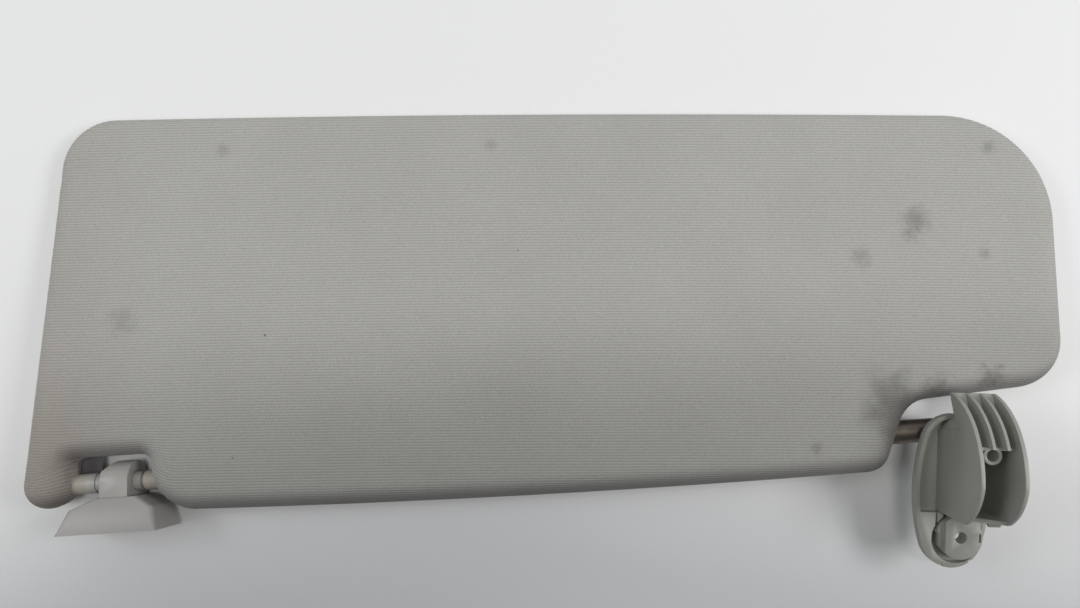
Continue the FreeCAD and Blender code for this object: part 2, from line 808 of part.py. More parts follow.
shank_bottom = "$hinge_z + $housing_half_height - $screw_length"
shanks = screw_row("screw_shank", "$screw_shank", "$screw_length - $screw_head_height", shank_bottom)
heads = screw_row(
    "screw_head", "$screw_head", "$screw_head_height", "$hinge_z + $housing_half_height - $screw_head_height",
)
screws = [fuse("screw" + str(number), shank, head) for number, (shank, head) in enumerate(zip(shanks, heads))]
housing_screws = doc.addObject("Part::Compound", "housing_screws")
housing_screws.Links = screws
hinge_housing = cut(
    "hinge_housing", housing_blank, housing_bore, spring_room, spring_window, window_mouth, cap_recess,
    wire_frame, *screws
)
housing_cap = cut("housing_cap", cap_recess, *screws)

# Detent spring: a strip of spring steel that hugs the rod, with two flat legs in the window.
spring_ring = cylinder(
    "spring_ring", "$rod_radius + $running_gap + $spring_strip", spring_length,
    spring_start, "$hinge_y", "$hinge_z", along_x,
)
spring_legs = block(
    "spring_legs", spring_length, "$rod_radius + $spring_leg", "2 * ($window_half_height - $running_gap)",
    spring_start, "$hinge_y", "$hinge_z - $window_half_height + $running_gap",
)
spring_mouth = block(
    "spring_mouth", spring_length, "$rod_radius + $spring_leg",
    "2 * ($window_half_height - $running_gap - $spring_strip)",
    spring_start, "$hinge_y", "$hinge_z - $window_half_height + $running_gap + $spring_strip",
)
spring_blank = fuse("spring_blank", spring_ring, spring_legs)
detent_spring = cut("detent_spring", spring_blank, housing_bore, spring_mouth)


# Carrier of the clip pin: a flat moulding in the middle plane round the notch, with a socket on
# each side that comes out through the fabric and holds the pin's end.
lobe_inner_x = "$leg_x - $lobe_x + $lobe_radius"
notch_right_x = "$leg_x - $notch_right"
carrier_low = "$hinge_z - $carrier_thickness / 2"
carrier_bar = block(
    "carrier_bar", "$lobe_x - $lobe_radius - $notch_right + 3 * $carrier_bar", "$carrier_bar",
    "$carrier_thickness", lobe_inner_x + " - 1.5 * $carrier_bar",
    "$hinge_y + $notch_depth + $carrier_gap", carrier_low,
)
carrier_arm_left = block(
    "carrier_arm_left", "$carrier_bar", "$notch_depth + $carrier_gap + $carrier_bar + $pin_radius",
    "$carrier_thickness", lobe_inner_x + " - 1.5 * $carrier_bar", "$hinge_y - $pin_radius", carrier_low,
)
carrier_arm_right = block(
    "carrier_arm_right", "$carrier_bar", "$notch_depth + $carrier_gap + $carrier_bar + $pin_radius",
    "$carrier_thickness", notch_right_x + " + 0.5 * $carrier_bar", "$hinge_y - $pin_radius", carrier_low,
)
left_socket = cylinder(
    "left_socket", "$socket_radius", "1.5 * $carrier_bar + $left_socket_out",
    lobe_inner_x + " - 1.5 * $carrier_bar", "$hinge_y", "$hinge_z", along_x,
)
right_socket = cylinder(
    "right_socket", "$socket_radius", "1.5 * $carrier_bar + $right_knob_out",
    notch_right_x + " - $right_knob_out", "$hinge_y", "$hinge_z", along_x,
)


def knob_end(points):
    radius = size("socket_radius") / 3
    knob_x = size("leg_x") - size("notch_right") - size("right_knob_out")
    return (radius, radius) if all(abs(point.x - knob_x) < 0.01 for point in points) else None


right_knob = rounded("right_knob", right_socket, knob_end)
pin_end_room = cylinder(
    "pin_end_room", "$pin_end_radius", "$lobe_x - $lobe_radius - $notch_right + 2.4 * $carrier_bar",
    lobe_inner_x + " - 1.2 * $carrier_bar", "$hinge_y", "$hinge_z", along_x,
)
carrier_blank = fuse(
    "carrier_blank", carrier_bar, carrier_arm_left, carrier_arm_right, left_socket, right_knob,
)
pin_carrier = cut("pin_carrier", carrier_blank, pin_end_room)

# Clip pin: turned down at both ends, with a collar beside its left socket.
pin_middle = cylinder(
    "pin_middle", "$pin_radius",
    "$lobe_x - $lobe_radius - $notch_right - $left_socket_out - $right_knob_out - $pin_shoulder",
    lobe_inner_x + " + $left_socket_out", "$hinge_y", "$hinge_z", along_x,
)
pin_collar = cylinder(
    "pin_collar", "$collar_radius", "$collar_length", lobe_inner_x + " + $left_socket_out", "$hinge_y",
    "$hinge_z", along_x,
)
clip_pin = fuse("clip_pin", pin_middle, pin_collar, pin_end_room)

# Skins and foam halves, with the room that the rod, the housing, the wire and the sockets take.
fittings = [bush_channel, left_socket, right_knob]
back_cover = cut("back_cover", back_skin, *fittings)
front_cover = cut("front_cover", front_skin, *fittings)
inner_parts = fittings + [rod_channel, housing_blank, wire_frame, carrier_blank]
back_core = cut("back_core", cut("back_fill", back_half, back_skin), *inner_parts)
front_core = cut("front_core", cut("front_fill", front_half, front_skin), *inner_parts)


# Roof clip. Both of its bodies are drawn seat up, about the pin, and turned as the clip hangs.
def clip_body(name):
    return new_body(name, "$leg_x - $clip_x", "$hinge_y", "$hinge_z", "$clip_turn", Vector(1, 0, 0))


clip_hook = clip_body("clip_hook")
profile = sketch_on(clip_hook, "hook_profile", "YZ_Plane")
hook_round = profile.addGeometry(
    Part.ArcOfCircle(Part.Circle(Vector(), Vector(0, 0, 1), size("hook_radius")), math.pi, 2 * math.pi)
)
side_a = profile.addGeometry(
    Part.LineSegment(Vector(size("hook_radius"), 0, 0), Vector(size("hook_radius"), size("root_level"), 0))
)
side_b = profile.addGeometry(
    Part.LineSegment(
        Vector(size("hook_radius"), size("root_level"), 0),
        Vector(-size("hook_radius"), size("root_level"), 0),
    )
)
side_c = profile.addGeometry(
    Part.LineSegment(Vector(-size("hook_radius"), size("root_level"), 0), Vector(-size("hook_radius"), 0, 0))
)
closed_chain(profile, [hook_round, side_a, side_b, side_c])
profile.addConstraint(Sketcher.Constraint("Coincident", hook_round, 3, -1, 1))
set_radius(profile, hook_round, "$hook_radius")
profile.addConstraint(Sketcher.Constraint("Vertical", side_a))
profile.addConstraint(Sketcher.Constraint("Horizontal", side_b))
profile.addConstraint(Sketcher.Constraint("Vertical", side_c))
for end in (1, 2):
    profile.addConstraint(Sketcher.Constraint("PointOnObject", hook_round, end, -1))
pin_point(profile, side_b, 1, None, "$root_level")
circle(profile, "$hook_bore", "0", "0")
pad(clip_hook, "hook_pad", profile, "$hook_width", midplane=True)
foot = sketch_on(clip_hook, "hook_foot_outline", "XY_Plane", "$root_level")
rectangle(foot, "-$hook_width / 2", "$hook_width / 2", "-$neck_low", "$neck_low")
pad(clip_hook, "hook_foot", foot, "$clip_wall + $foot_thickness")
flange = sketch_on(clip_hook, "hook_flange_outline", "XY_Plane", "$root_level + $clip_wall")
rectangle(
    flange, "-$hook_width / 2 - $foot_margin", "$hook_width / 2 + $foot_margin",
    "-$neck_low", "$neck_low",
)
pad(clip_hook, "hook_flange", flange, "$foot_thickness")
mouth = sketch_on(clip_hook, "hook_mouth_outline", "XZ_Plane")
rectangle(mouth, "-$hook_width", "$hook_width", "-$hook_mouth / 2", "$hook_mouth / 2")
pocket(clip_hook, "hook_mouth", mouth, "2 * $hook_radius", reverse=True)
corner = sketch_on(clip_hook, "hook_corner_outline", "XZ_Plane")
polygon(corner, [
    ("-$hook_width / 2", "-$hook_radius"),
    ("$hook_chamfer - $hook_width / 2", "-$hook_radius"),
    ("-$hook_width / 2", "$hook_chamfer - $hook_radius"),
])
pocket(clip_hook, "hook_corner", corner, "4 * $hook_radius").Midplane = True

clip_base = clip_body("clip_base")


def clip_sections(name, inset):
    """Three rectangles up the flanks of the clip's base, drawn in by a formula."""
    sections = []
    shoulder_depth = "($root_half_depth + ($seat_half_depth - $root_half_depth) * 0.4)"
    for place, level, left, right, depth in (
        ("root", "$root_level + " + inset, "$root_left", "$root_right", "$root_half_depth"),
        ("shoulder", "$shoulder_level + " + inset, "$shoulder_left", "$shoulder_right", shoulder_depth),
        ("seat", "$seat_distance", "$seat_left", "$seat_right", "$seat_half_depth"),
    ):
        section = sketch_on(clip_base, name + place, "XY_Plane", level)
        depth = "(%s - %s)" % (depth, inset)
        rounded_rectangle(
            section, "-(%s - %s)" % (left, inset), "%s - %s" % (right, inset), "-" + depth, depth,
            "$flank_rounding - 0.8 * " + inset,
        )
        sections.append(section)
    doc.recompute()
    return sections


def clip_loft(kind, name, sections):
    loft = clip_base.newObject("PartDesign::" + kind, name)
    loft.Profile = sections[0]
    loft.Sections = sections[1:]
    loft.Ruled = True
    doc.recompute()
    return loft


clip_loft("AdditiveLoft", "clip_shell", clip_sections("clip_outer_", "0"))
clip_loft("SubtractiveLoft", "clip_hollow", clip_sections("clip_inner_", "$clip_wall"))
window = sketch_on(clip_base, "foot_window", "XY_Plane", "$root_level + $clip_wall")
rectangle(window, "-$hook_width / 2", "$hook_width / 2", "-$neck_low", "$neck_low")
pocket(clip_base, "foot_window_cut", window, "2 * $clip_wall")
rib_side = "($hook_width / 2 + $foot_margin)"
for name, start in (("left", "-(%s + $clip_wall)" % rib_side), ("right", rib_side)):
    rib = sketch_on(clip_base, "clip_rib_outline_" + name, "XY_Plane", "$seat_distance - $clip_wall")
    rib_reach = "($root_half_depth - $clip_wall / 10)"
    rectangle(rib, start, start + " + $clip_wall", "-" + rib_reach, rib_reach)
    pad(clip_base, "clip_rib_" + name, rib, "$seat_distance - $root_level - 2 * $clip_wall", reverse=True)


# Roof bracket. Its bodies are drawn about the leg, with the rim of the plate at height zero.
def bracket_body(name):
    return new_body(name, "$leg_x", "$hinge_y", "$rim_z", "$plate_turn")


side_reach = "($plate_top + $plate_bottom - 2 * $plate_end_radius)"
side_bulge = "($plate_half_width - $plate_end_radius)"
side_radius = "(%s / 2)^2 / (2 * %s) + %s / 2 + $plate_end_radius" % (side_reach, side_bulge, side_bulge)


def oval(sketch, inset):
    """The plate's outline: two end arcs joined by two flatter side arcs, inset by a formula."""
    top = size("plate_top") - size("plate_end_radius")
    low = size("plate_end_radius") - size("plate_bottom")
    end = size("plate_end_radius")
    half = size("plate_half_width")
    middle = (top + low) / 2
    shift = -size("leg_side")
    top_left, top_right = Vector(shift - end, top, 0), Vector(shift + end, top, 0)
    low_left, low_right = Vector(shift - end, low, 0), Vector(shift + end, low, 0)
    top_arc = Part.Arc(top_right, Vector(shift, top + end, 0), top_left)
    left_arc = Part.Arc(top_left, Vector(shift - half, middle, 0), low_left)
    low_arc = Part.Arc(low_left, Vector(shift, low - end, 0), low_right)
    right_arc = Part.Arc(low_right, Vector(shift + half, middle, 0), top_right)
    arcs = [sketch.addGeometry(arc) for arc in (top_arc, left_arc, low_arc, right_arc)]
    closed_chain(sketch, arcs, smooth=arcs)
    pin_point(sketch, arcs[0], 3, "-$leg_side", "$plate_top - $plate_end_radius")
    pin_point(sketch, arcs[2], 3, "-$leg_side", "$plate_end_radius - $plate_bottom")
    set_radius(sketch, arcs[0], "$plate_end_radius - " + inset)
    set_radius(sketch, arcs[2], "$plate_end_radius - " + inset)
    set_radius(sketch, arcs[1], side_radius + " - " + inset)
    set_radius(sketch, arcs[3], side_radius + " - " + inset)


def dish_shape(sketch, inset):
    """The plate's outline, inset by a formula and closed by a straight line just past the carrier."""
    top = size("plate_top") - size("plate_end_radius")
    end = size("plate_end_radius") - size("plate_rim")
    half = size("plate_half_width") - size("plate_rim")
    middle = (size("plate_top") - size("plate_bottom")) / 2
    low = -size("fin_end") - size("rim_clearance")
    shift = -size("leg_side")
    top_left, top_right = Vector(shift - end, top, 0), Vector(shift + end, top, 0)
    low_left, low_right = Vector(shift - half + 0.6, low, 0), Vector(shift + half - 0.6, low, 0)
    curves = [
        Part.Arc(top_right, Vector(shift, top + end, 0), top_left),
        Part.Arc(top_left, Vector(shift - half, middle, 0), low_left),
        Part.LineSegment(low_left, low_right),
        Part.Arc(low_right, Vector(shift + half, middle, 0), top_right),
    ]
    numbers = [sketch.addGeometry(curve) for curve in curves]
    closed_chain(sketch, numbers, smooth=(numbers[0], numbers[3]))
    sketch.addConstraint(Sketcher.Constraint("Horizontal", numbers[2]))
    pin_point(sketch, numbers[0], 3, "-$leg_side", "$plate_top - $plate_end_radius")
    pin_point(sketch, numbers[2], 1, None, "-$fin_end - $rim_clearance")
    set_radius(sketch, numbers[0], "$plate_end_radius - " + inset)
    for number in (numbers[1], numbers[3]):
        pin_point(sketch, number, 3, None, "($plate_top - $plate_bottom) / 2")
        set_radius(sketch, number, side_radius + " - " + inset)


escutcheon = bracket_body("escutcheon")
plate_outline = sketch_on(escutcheon, "plate_outline")
oval(plate_outline, "0")
plate = pad(escutcheon, "plate", plate_outline, "$plate_height", reverse=True)
doc.recompute()
low_edges = [
    "Edge%d" % number
    for number, edge in enumerate(plate.Shape.Edges, start=1)
    if all(abs(vertex.Z + size("plate_height")) < 0.01 for vertex in edge.Vertexes)
]
soft_edge = escutcheon.newObject("PartDesign::Fillet", "plate_soft_edge")
soft_edge.Base = (plate, low_edges)
bind(soft_edge, "Radius", "$plate_rounding")
dish_outline = sketch_on(escutcheon, "dish_outline")
dish_shape(dish_outline, "$plate_rim")
pocket(escutcheon, "dish", dish_outline, "$plate_height - $plate_floor")
hole_x = "($hole_side * cos($plate_turn * 1deg) - $hole_to_leg * sin($plate_turn * 1deg))"
hole_y = "(-$hole_side * sin($plate_turn * 1deg) - $hole_to_leg * cos($plate_turn * 1deg))"
groove_outline = sketch_on(escutcheon, "boss_groove_outline")
circle(groove_outline, "$groove_radius", hole_x + " - 0.8 * $groove_shift", hole_y + " - $groove_shift")
pocket(escutcheon, "boss_groove", groove_outline, "$plate_height - $plate_floor")
window_outline = sketch_on(escutcheon, "latch_window_outline")
rectangle(
    window_outline, hole_x + " - $boss_flat", hole_x, "-$fin_end - $rim_clearance - $window_reach",
    "-$fin_end",
)
pocket(escutcheon, "latch_window", window_outline, "$plate_height - $plate_floor")
boss_outline = sketch_on(escutcheon, "boss_outline", "XY_Plane", "$boss_height")
circle(boss_outline, "$boss_radius", hole_x, hole_y)
pad(escutcheon, "boss", boss_outline, "$boss_height - $shelf_z", reverse=True)
flat_outline = sketch_on(escutcheon, "boss_flat_outline", "XY_Plane", "$boss_height")
rectangle(
    flat_outline, hole_x + " - 2 * $boss_radius", hole_x + " - $boss_flat", hole_y + " - $boss_radius",
    hole_y + " + $boss_radius",
)
pocket(escutcheon, "boss_flat_cut", flat_outline, "$boss_flat_drop")
latch_outline = sketch_on(escutcheon, "latch_outline", "XY_Plane", "$boss_height")
latch_x = "-($latch_place + $latch_width)"
rectangle(
    latch_outline, latch_x, "-$latch_place", hole_y + " - 0.75 * $latch_length",
    hole_y + " + 0.25 * $latch_length",
)
pocket(escutcheon, "latch_slot", latch_outline, "$boss_height + $plate_height - 0.4 * $plate_floor")
channel_start = sketch_on(escutcheon, "latch_channel_outline", "XY_Plane", "$boss_height")
rectangle(
    channel_start, "-$latch_place - 1.5 * $latch_channel", "-$latch_place - $latch_channel / 2",
    hole_y + " + 0.2 * $latch_length", "-$fin_end",
)
pocket(escutcheon, "latch_channel", channel_start, "$boss_height + $plate_floor / 2")
slit_outline = sketch_on(escutcheon, "boss_slit_outline", "XY_Plane", "$boss_height")
rectangle(
    slit_outline, hole_x + " + $boss_radius - 2 * $slit_width", hole_x + " + $boss_radius - $slit_width",
    hole_y + " - $slit_length / 2", hole_y + " + $slit_length / 2",
)
pocket(escutcheon, "boss_slit", slit_outline, "$plate_floor")
nick_outline = sketch_on(escutcheon, "rim_nick_outline")
for start, low in (("-$leg_side - 3 * $rim_nick", "1.2"), ("-$leg_side + 4.6 * $rim_nick", "3.2")):
    rectangle(
        nick_outline, start, start + " + $rim_nick", "-$plate_bottom - $rim_nick",
        "-$plate_bottom + " + low,
    )
pocket(escutcheon, "rim_nicks", nick_outline, "$plate_height / 2")
leg_hole = sketch_on(escutcheon, "leg_hole_outline")
circle(leg_hole, "$leg_bush_radius", "0", "0")
pocket(escutcheon, "leg_hole", leg_hole, "$plate_height")
fixing_outline = sketch_on(escutcheon, "fixing_hole_outline", "XY_Plane", "$boss_height")
circle(fixing_outline, "$hole_radius", hole_x, hole_y)
pocket(escutcheon, "fixing_hole", fixing_outline, "$boss_height + $plate_height")
counterbore_outline = sketch_on(escutcheon, "counterbore_outline", "XY_Plane", "-$plate_height")
circle(counterbore_outline, "$counterbore_radius", hole_x, hole_y)
pocket(escutcheon, "counterbore", counterbore_outline, "$counterbore_depth", reverse=True)

# Finned carrier: a block with the fins' side profile, hollowed between its walls and ribs.
mount_carrier = bracket_body("mount_carrier")
fins = sketch_on(mount_carrier, "fin_profile", "YZ_Plane", "-$leg_side - $fin_left")
tip = size("fin_tip")
tip_level = size("fin_tip_level")
crest = size("fin_crest")
far_end = -size("fin_end")
shelf = size("shelf_z")
front = size("fin_front")
profile_points = {
    "foot": Vector(0.3 * front, shelf, 0),
    "front": Vector(front, size("fin_front_level"), 0),
    "throat": Vector(size("fin_throat"), size("fin_throat_level"), 0),
    "tip": Vector(tip, tip_level, 0),
    "nose": Vector(tip, tip_level + 1.5, 0),
    "brow": Vector(0.3 * tip, 0.78 * crest, 0),
    "crest": Vector(0.5 * far_end, crest, 0),
    "back": Vector(far_end, 0.63 * crest, 0),
    "heel": Vector(far_end, shelf, 0),
}
p = profile_points
fin_curves = [
    Part.LineSegment(p["foot"], p["front"]),
    Part.LineSegment(p["front"], p["throat"]),
    Part.LineSegment(p["throat"], p["tip"]),
    Part.LineSegment(p["tip"], p["nose"]),
    Part.Arc(p["nose"], Vector(0.68 * tip, 0.53 * crest, 0), p["brow"]),
    Part.Arc(p["brow"], Vector(-0.32 * tip, 0.95 * crest, 0), p["crest"]),
    Part.Arc(p["crest"], Vector(0.82 * far_end, 0.88 * crest, 0), p["back"]),
    Part.LineSegment(p["back"], p["heel"]),
    Part.LineSegment(p["heel"], p["foot"]),
]
fin_numbers = [fins.addGeometry(curve) for curve in fin_curves]
fin_shared = closed_chain(fins, fin_numbers)
fin_places = [
    ("$fin_front", "$fin_front_level"),
    ("$fin_throat", "$fin_throat_level"),
    ("$fin_tip", "$fin_tip_level"),
    ("$fin_tip", "$fin_tip_level + 1.5"),
    ("0.3 * $fin_tip", "0.78 * $fin_crest"),
    ("-0.5 * $fin_end", "$fin_crest"),
    ("-$fin_end", "0.63 * $fin_crest"),
    ("-$fin_end", "$shelf_z"),
    ("0.3 * $fin_front", "$shelf_z"),
]
for number, shared_end, (across, along) in zip(fin_numbers, fin_shared, fin_places):
    pin_point(fins, number, shared_end, across, along)
for number, radius in zip(fin_numbers[4:7], ("1.9 * $fin_tip", "1.2 * $fin_crest", "0.75 * $fin_crest")):
    set_radius(fins, number, radius)
pad(mount_carrier, "fin_block", fins, "$fin_left + $fin_right")
doc.recompute()

left_inner = "-$leg_side - $fin_left + $fin_wall"
right_inner = "-$leg_side + $fin_right - $fin_wall"
room_outline = sketch_on(mount_carrier, "room_outline", "XY_Plane", "$shelf_z + $carrier_floor")
rectangle(room_outline, left_inner, right_inner, "-$fin_end + $fin_wall", "-$web_place - $web_thickness")
pocket(mount_carrier, "room", room_outline, "2 * $fin_crest", reverse=True)
inner_width = "($fin_left + $fin_right - 2 * $fin_wall - 2 * $rib_thickness)"
for number in range(3):
    start = "%s + %d * (%s / 3 + $rib_thickness)" % (left_inner, number, inner_width)
    channel = sketch_on(mount_carrier, "channel_profile_%d" % number, "YZ_Plane", start)
    high = "2 * $fin_crest"
    polygon(channel, [
        ("-$web_place", "$fin_front_level + $hook_plate"),
        ("$fin_front", "$fin_front_level + $hook_plate"),
        ("$fin_throat", "$fin_throat_level + $hook_plate"),
        ("$fin_tip + 1", "$fin_tip_level + 0.6 * $hook_plate"),
        ("$fin_tip + 1", high),
        ("-$web_place", high),
    ])
    pocket(mount_carrier, "channel_%d" % number, channel, inner_width + " / 3", reverse=True)
end_trim = sketch_on(mount_carrier, "end_trim_outline", "XZ_Plane", "$fin_end - $fin_wall - 0.2")
polygon(end_trim, [
    (left_inner, "0.63 * $fin_crest - $end_wall_drop"),
    (right_inner, "0.63 * $fin_crest"),
    (right_inner, "$fin_crest"),
    (left_inner, "$fin_crest"),
])
pocket(mount_carrier, "end_trim", end_trim, "2 * $fin_wall", reverse=True)
catch_profile = sketch_on(mount_carrier, "catch_profile", "YZ_Plane", right_inner + " - $catch_width")
polygon(catch_profile, [
    ("-$fin_end + $fin_wall / 2", "$catch_level"),
    ("-$fin_end + $fin_wall / 2", "$catch_level + 1.5 * $catch_reach"),
    ("-$fin_end", "$catch_level + 1.5 * $catch_reach"),
    ("-$fin_end - $catch_reach", "$catch_level + $catch_reach"),
    ("-$fin_end", "$catch_level"),
])
pad(mount_carrier, "catch", catch_profile, "$catch_width")
web_trim = sketch_on(mount_carrier, "web_trim_outline", "XY_Plane", "$web_level")
rectangle(
    web_trim, left_inner, right_inner, "-$web_place - $web_thickness - 0.1", "-$web_place + 0.1",
)
pocket(mount_carrier, "web_trim", web_trim, "2 * $fin_crest", reverse=True)
boss = sketch_on(mount_carrier, "leg_boss_outline", "XY_Plane", "$shelf_z")
circle(boss, "$leg_boss_radius", "0", "0")
pad(mount_carrier, "leg_boss", boss, "$leg_boss_top - $shelf_z")
foot_trim = sketch_on(mount_carrier, "foot_trim_outline", "XY_Plane", "$shelf_z")
rectangle(foot_trim, "-$plate_bottom", "$plate_bottom", "-2 * $plate_bottom", "$plate_bottom")
oval(foot_trim, "($plate_rim + $rim_clearance)")
pocket(mount_carrier, "foot_trim", foot_trim, "$rim_clearance - $shelf_z", reverse=True)
loop_outline = sketch_on(mount_carrier, "loop_outline", "XY_Plane", "$leg_boss_top")
circle(loop_outline, "$loop_radius", "0", "-$web_place - $loop_reach / 2")
pad(mount_carrier, "loop", loop_outline, "$web_level - $leg_boss_top")
loop_bore = sketch_on(mount_carrier, "loop_bore_outline", "XY_Plane", "$leg_boss_top")
circle(loop_bore, "$loop_radius - $loop_wall", "0", "-$web_place - $loop_reach / 2")
pocket(mount_carrier, "loop_bore", loop_bore, "2 * $fin_crest", reverse=True)
bush_seat = sketch_on(mount_carrier, "bush_seat_outline", "XY_Plane", "$shelf_z")
circle(bush_seat, "$leg_bush_radius", "0", "0")
pocket(mount_carrier, "bush_seat", bush_seat, "$leg_boss_top - $leg_boss_wall - $shelf_z", reverse=True)

doc.recompute()

NODES = {
    "back_cover": back_cover,
    "front_cover": front_cover,
    "back_core": back_core,
    "front_core": front_core,
    "wire_frame": wire_frame,
    "hinge_housing": hinge_housing,
    "housing_cap": housing_cap,
    "housing_screws": housing_screws,
    "detent_spring": detent_spring,
    "rod_bush": rod_bush,
    "pin_carrier": pin_carrier,
    "clip_pin": clip_pin,
    "clip_hook": clip_hook,
    "clip_base": clip_base,
    "pivot_rod": pivot_rod,
    "retaining_ring": retaining_ring,
    "spring_washer": spring_washer,
    "leg_bush": leg_bush,
    "escutcheon": escutcheon,
    "mount_carrier": mount_carrier,
}

faults = [thing.Name for thing in doc.Objects if "Invalid" in thing.State or "Error" in thing.State]
if faults:
    raise SystemExit("failed objects: " + ", ".join(faults))
for node, thing in NODES.items():
    if thing.Shape.isNull() or not thing.Shape.isValid():
        raise SystemExit("bad shape: " + node)

os.makedirs("parts", exist_ok=True)
for node, thing in NODES.items():
    thing.Label = node
    thing.Shape.exportStep("parts/%s.step" % node)
    box = thing.Shape.BoundBox
    print(
        "%-15s %2d solids %10.0f mm3  x %7.1f %7.1f  y %7.1f %7.1f  z %6.1f %6.1f"
        % (node, len(thing.Shape.Solids), thing.Shape.Volume, box.XMin, box.XMax, box.YMin, box.YMax,
           box.ZMin, box.ZMax)
    )
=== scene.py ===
"""Looks of a car sun visor that lies stowed on a pale table, roof side up, seen from straight above.

The board is covered in grey ribbed fabric. A roof clip turns on a pin in a notch at its left, and an
L-shaped pivot rod joins it to a finned roof bracket at its right. Lengths are millimetres until a
mesh is made.
"""
import json
import math

import bmesh
import bpy
import numpy as np
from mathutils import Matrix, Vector


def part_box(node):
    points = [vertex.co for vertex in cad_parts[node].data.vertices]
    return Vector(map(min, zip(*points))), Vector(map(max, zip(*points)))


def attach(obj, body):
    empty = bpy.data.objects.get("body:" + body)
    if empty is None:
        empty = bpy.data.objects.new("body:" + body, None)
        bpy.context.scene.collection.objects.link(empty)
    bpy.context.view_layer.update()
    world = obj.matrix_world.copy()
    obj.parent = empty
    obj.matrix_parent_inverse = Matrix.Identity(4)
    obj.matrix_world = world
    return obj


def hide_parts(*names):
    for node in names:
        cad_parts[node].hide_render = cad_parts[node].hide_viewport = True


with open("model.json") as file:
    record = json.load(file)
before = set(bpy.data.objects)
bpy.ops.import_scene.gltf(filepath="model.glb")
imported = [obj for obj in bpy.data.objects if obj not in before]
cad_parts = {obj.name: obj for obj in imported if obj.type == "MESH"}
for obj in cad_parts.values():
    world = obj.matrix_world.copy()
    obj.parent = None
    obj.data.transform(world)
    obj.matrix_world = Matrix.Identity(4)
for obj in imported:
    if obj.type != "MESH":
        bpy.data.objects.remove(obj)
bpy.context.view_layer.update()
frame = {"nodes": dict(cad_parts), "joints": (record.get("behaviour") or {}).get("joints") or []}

# The camera hangs above the table and looks straight down. The hinge line of the visor runs a few
# degrees off the long side of the picture.
METRES = 0.001
joints = {joint["name"]: joint for joint in frame["joints"]}
hinge = np.array(joints["visor_tilt"]["pos_m"]) / METRES
table_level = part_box("front_cover")[0].z / METRES
camera_height = 360.0
camera_from_leg = (-170.75, 64.25)
camera_roll = 3.65
focal_pixels = 816.0
picture_width = 1080.0
sensor_width = 36.0

camera_data = bpy.data.cameras.new("camera")
camera_data.sensor_width = sensor_width
camera_data.lens = focal_pixels / picture_width * sensor_width
camera_data.clip_start = 0.01
camera = bpy.data.objects.new("camera", camera_data)
camera.location = (
    (hinge[0] + camera_from_leg[0]) * METRES,
    (hinge[1] + camera_from_leg[1]) * METRES,
    (table_level + camera_height) * METRES,
)
camera.rotation_euler = (0, 0, -math.radians(camera_roll))
bpy.context.scene.collection.objects.link(camera)
bpy.context.scene.camera = camera
bpy.context.scene.view_settings.view_transform = "Standard"


# The table is a plain laminated board. Its matt white face is an even film of melamine, so it gives
# a soft shadow and no reflection to speak of.
def linear(hex_colour):
    """An sRGB colour such as "A0B0C0" as linear red, green, blue and alpha."""
    parts = [int(hex_colour[place:place + 2], 16) / 255 for place in (0, 2, 4)]
    return [part / 12.92 if part <= 0.04045 else ((part + 0.055) / 1.055) ** 2.4 for part in parts] + [1.0]


def add_node(tree, kind, settings=None, inputs=None):
    """Adds a node, sets its properties, and sets or links its inputs: a link is given as (node, output)."""
    node = tree.nodes.new(kind)
    for name, value in (settings or {}).items():
        setattr(node, name, value)
    for name, value in (inputs or {}).items():
        socket = node.inputs[name]
        if isinstance(value, tuple) and isinstance(value[0], bpy.types.Node):
            tree.links.new(value[0].outputs[value[1]], socket)
        else:
            socket.default_value = value
    return node


def new_material(name):
    """An empty node material and its tree, with an output node named "out"."""
    material = bpy.data.materials.new(name)
    material.use_nodes = True
    material.node_tree.nodes.clear()
    output = material.node_tree.nodes.new("ShaderNodeOutputMaterial")
    output.name = "out"
    return material, material.node_tree


def finish_shader(tree, shader):
    """Links a shader to the material's output."""
    tree.links.new(shader.outputs[0], tree.nodes["out"].inputs["Surface"])


def patch(tree, place, centre, radius, ragged):
    """A ragged round patch: 1 at a centre and 0 past a radius, both in millimetres.

    The coordinates come from the node place. A raggedness of 1 moves the rim by up to the radius.
    """
    wander = add_node(tree, "ShaderNodeTexNoise", inputs={
        "Vector": (place, "Object"), "Scale": 2.5 / (radius * METRES), "Detail": 3.0,
    })
    shift = add_node(tree, "ShaderNodeVectorMath", {"operation": "SCALE"}, {
        0: (wander, "Color"), "Scale": 2 * ragged * radius * METRES,
    })
    moved = add_node(tree, "ShaderNodeVectorMath", {"operation": "ADD"}, {
        0: (place, "Object"), 1: (shift, 0),
    })
    far = add_node(tree, "ShaderNodeVectorMath", {"operation": "DISTANCE"}, {
        0: (moved, 0), 1: [(value + ragged * radius) * METRES for value in centre],
    })
    return add_node(tree, "ShaderNodeMapRange", {"interpolation_type": "SMOOTHSTEP"}, {
        "Value": (far, "Value"), "From Min": 0.0, "From Max": radius * METRES, "To Min": 1.0, "To Max": 0.0,
    })


def tinted(tree, colour, mask, strength, hex_colour):
    """A colour multiplied by another where a mask is, by a strength from 0 to 1."""
    amount = add_node(tree, "ShaderNodeMath", {"operation": "MULTIPLY"}, {0: mask, 1: strength})
    return add_node(tree, "ShaderNodeMix", {"data_type": "RGBA", "blend_type": "MULTIPLY"}, {
        "Factor": (amount, 0), "A": colour, "B": linear(hex_colour),
    })


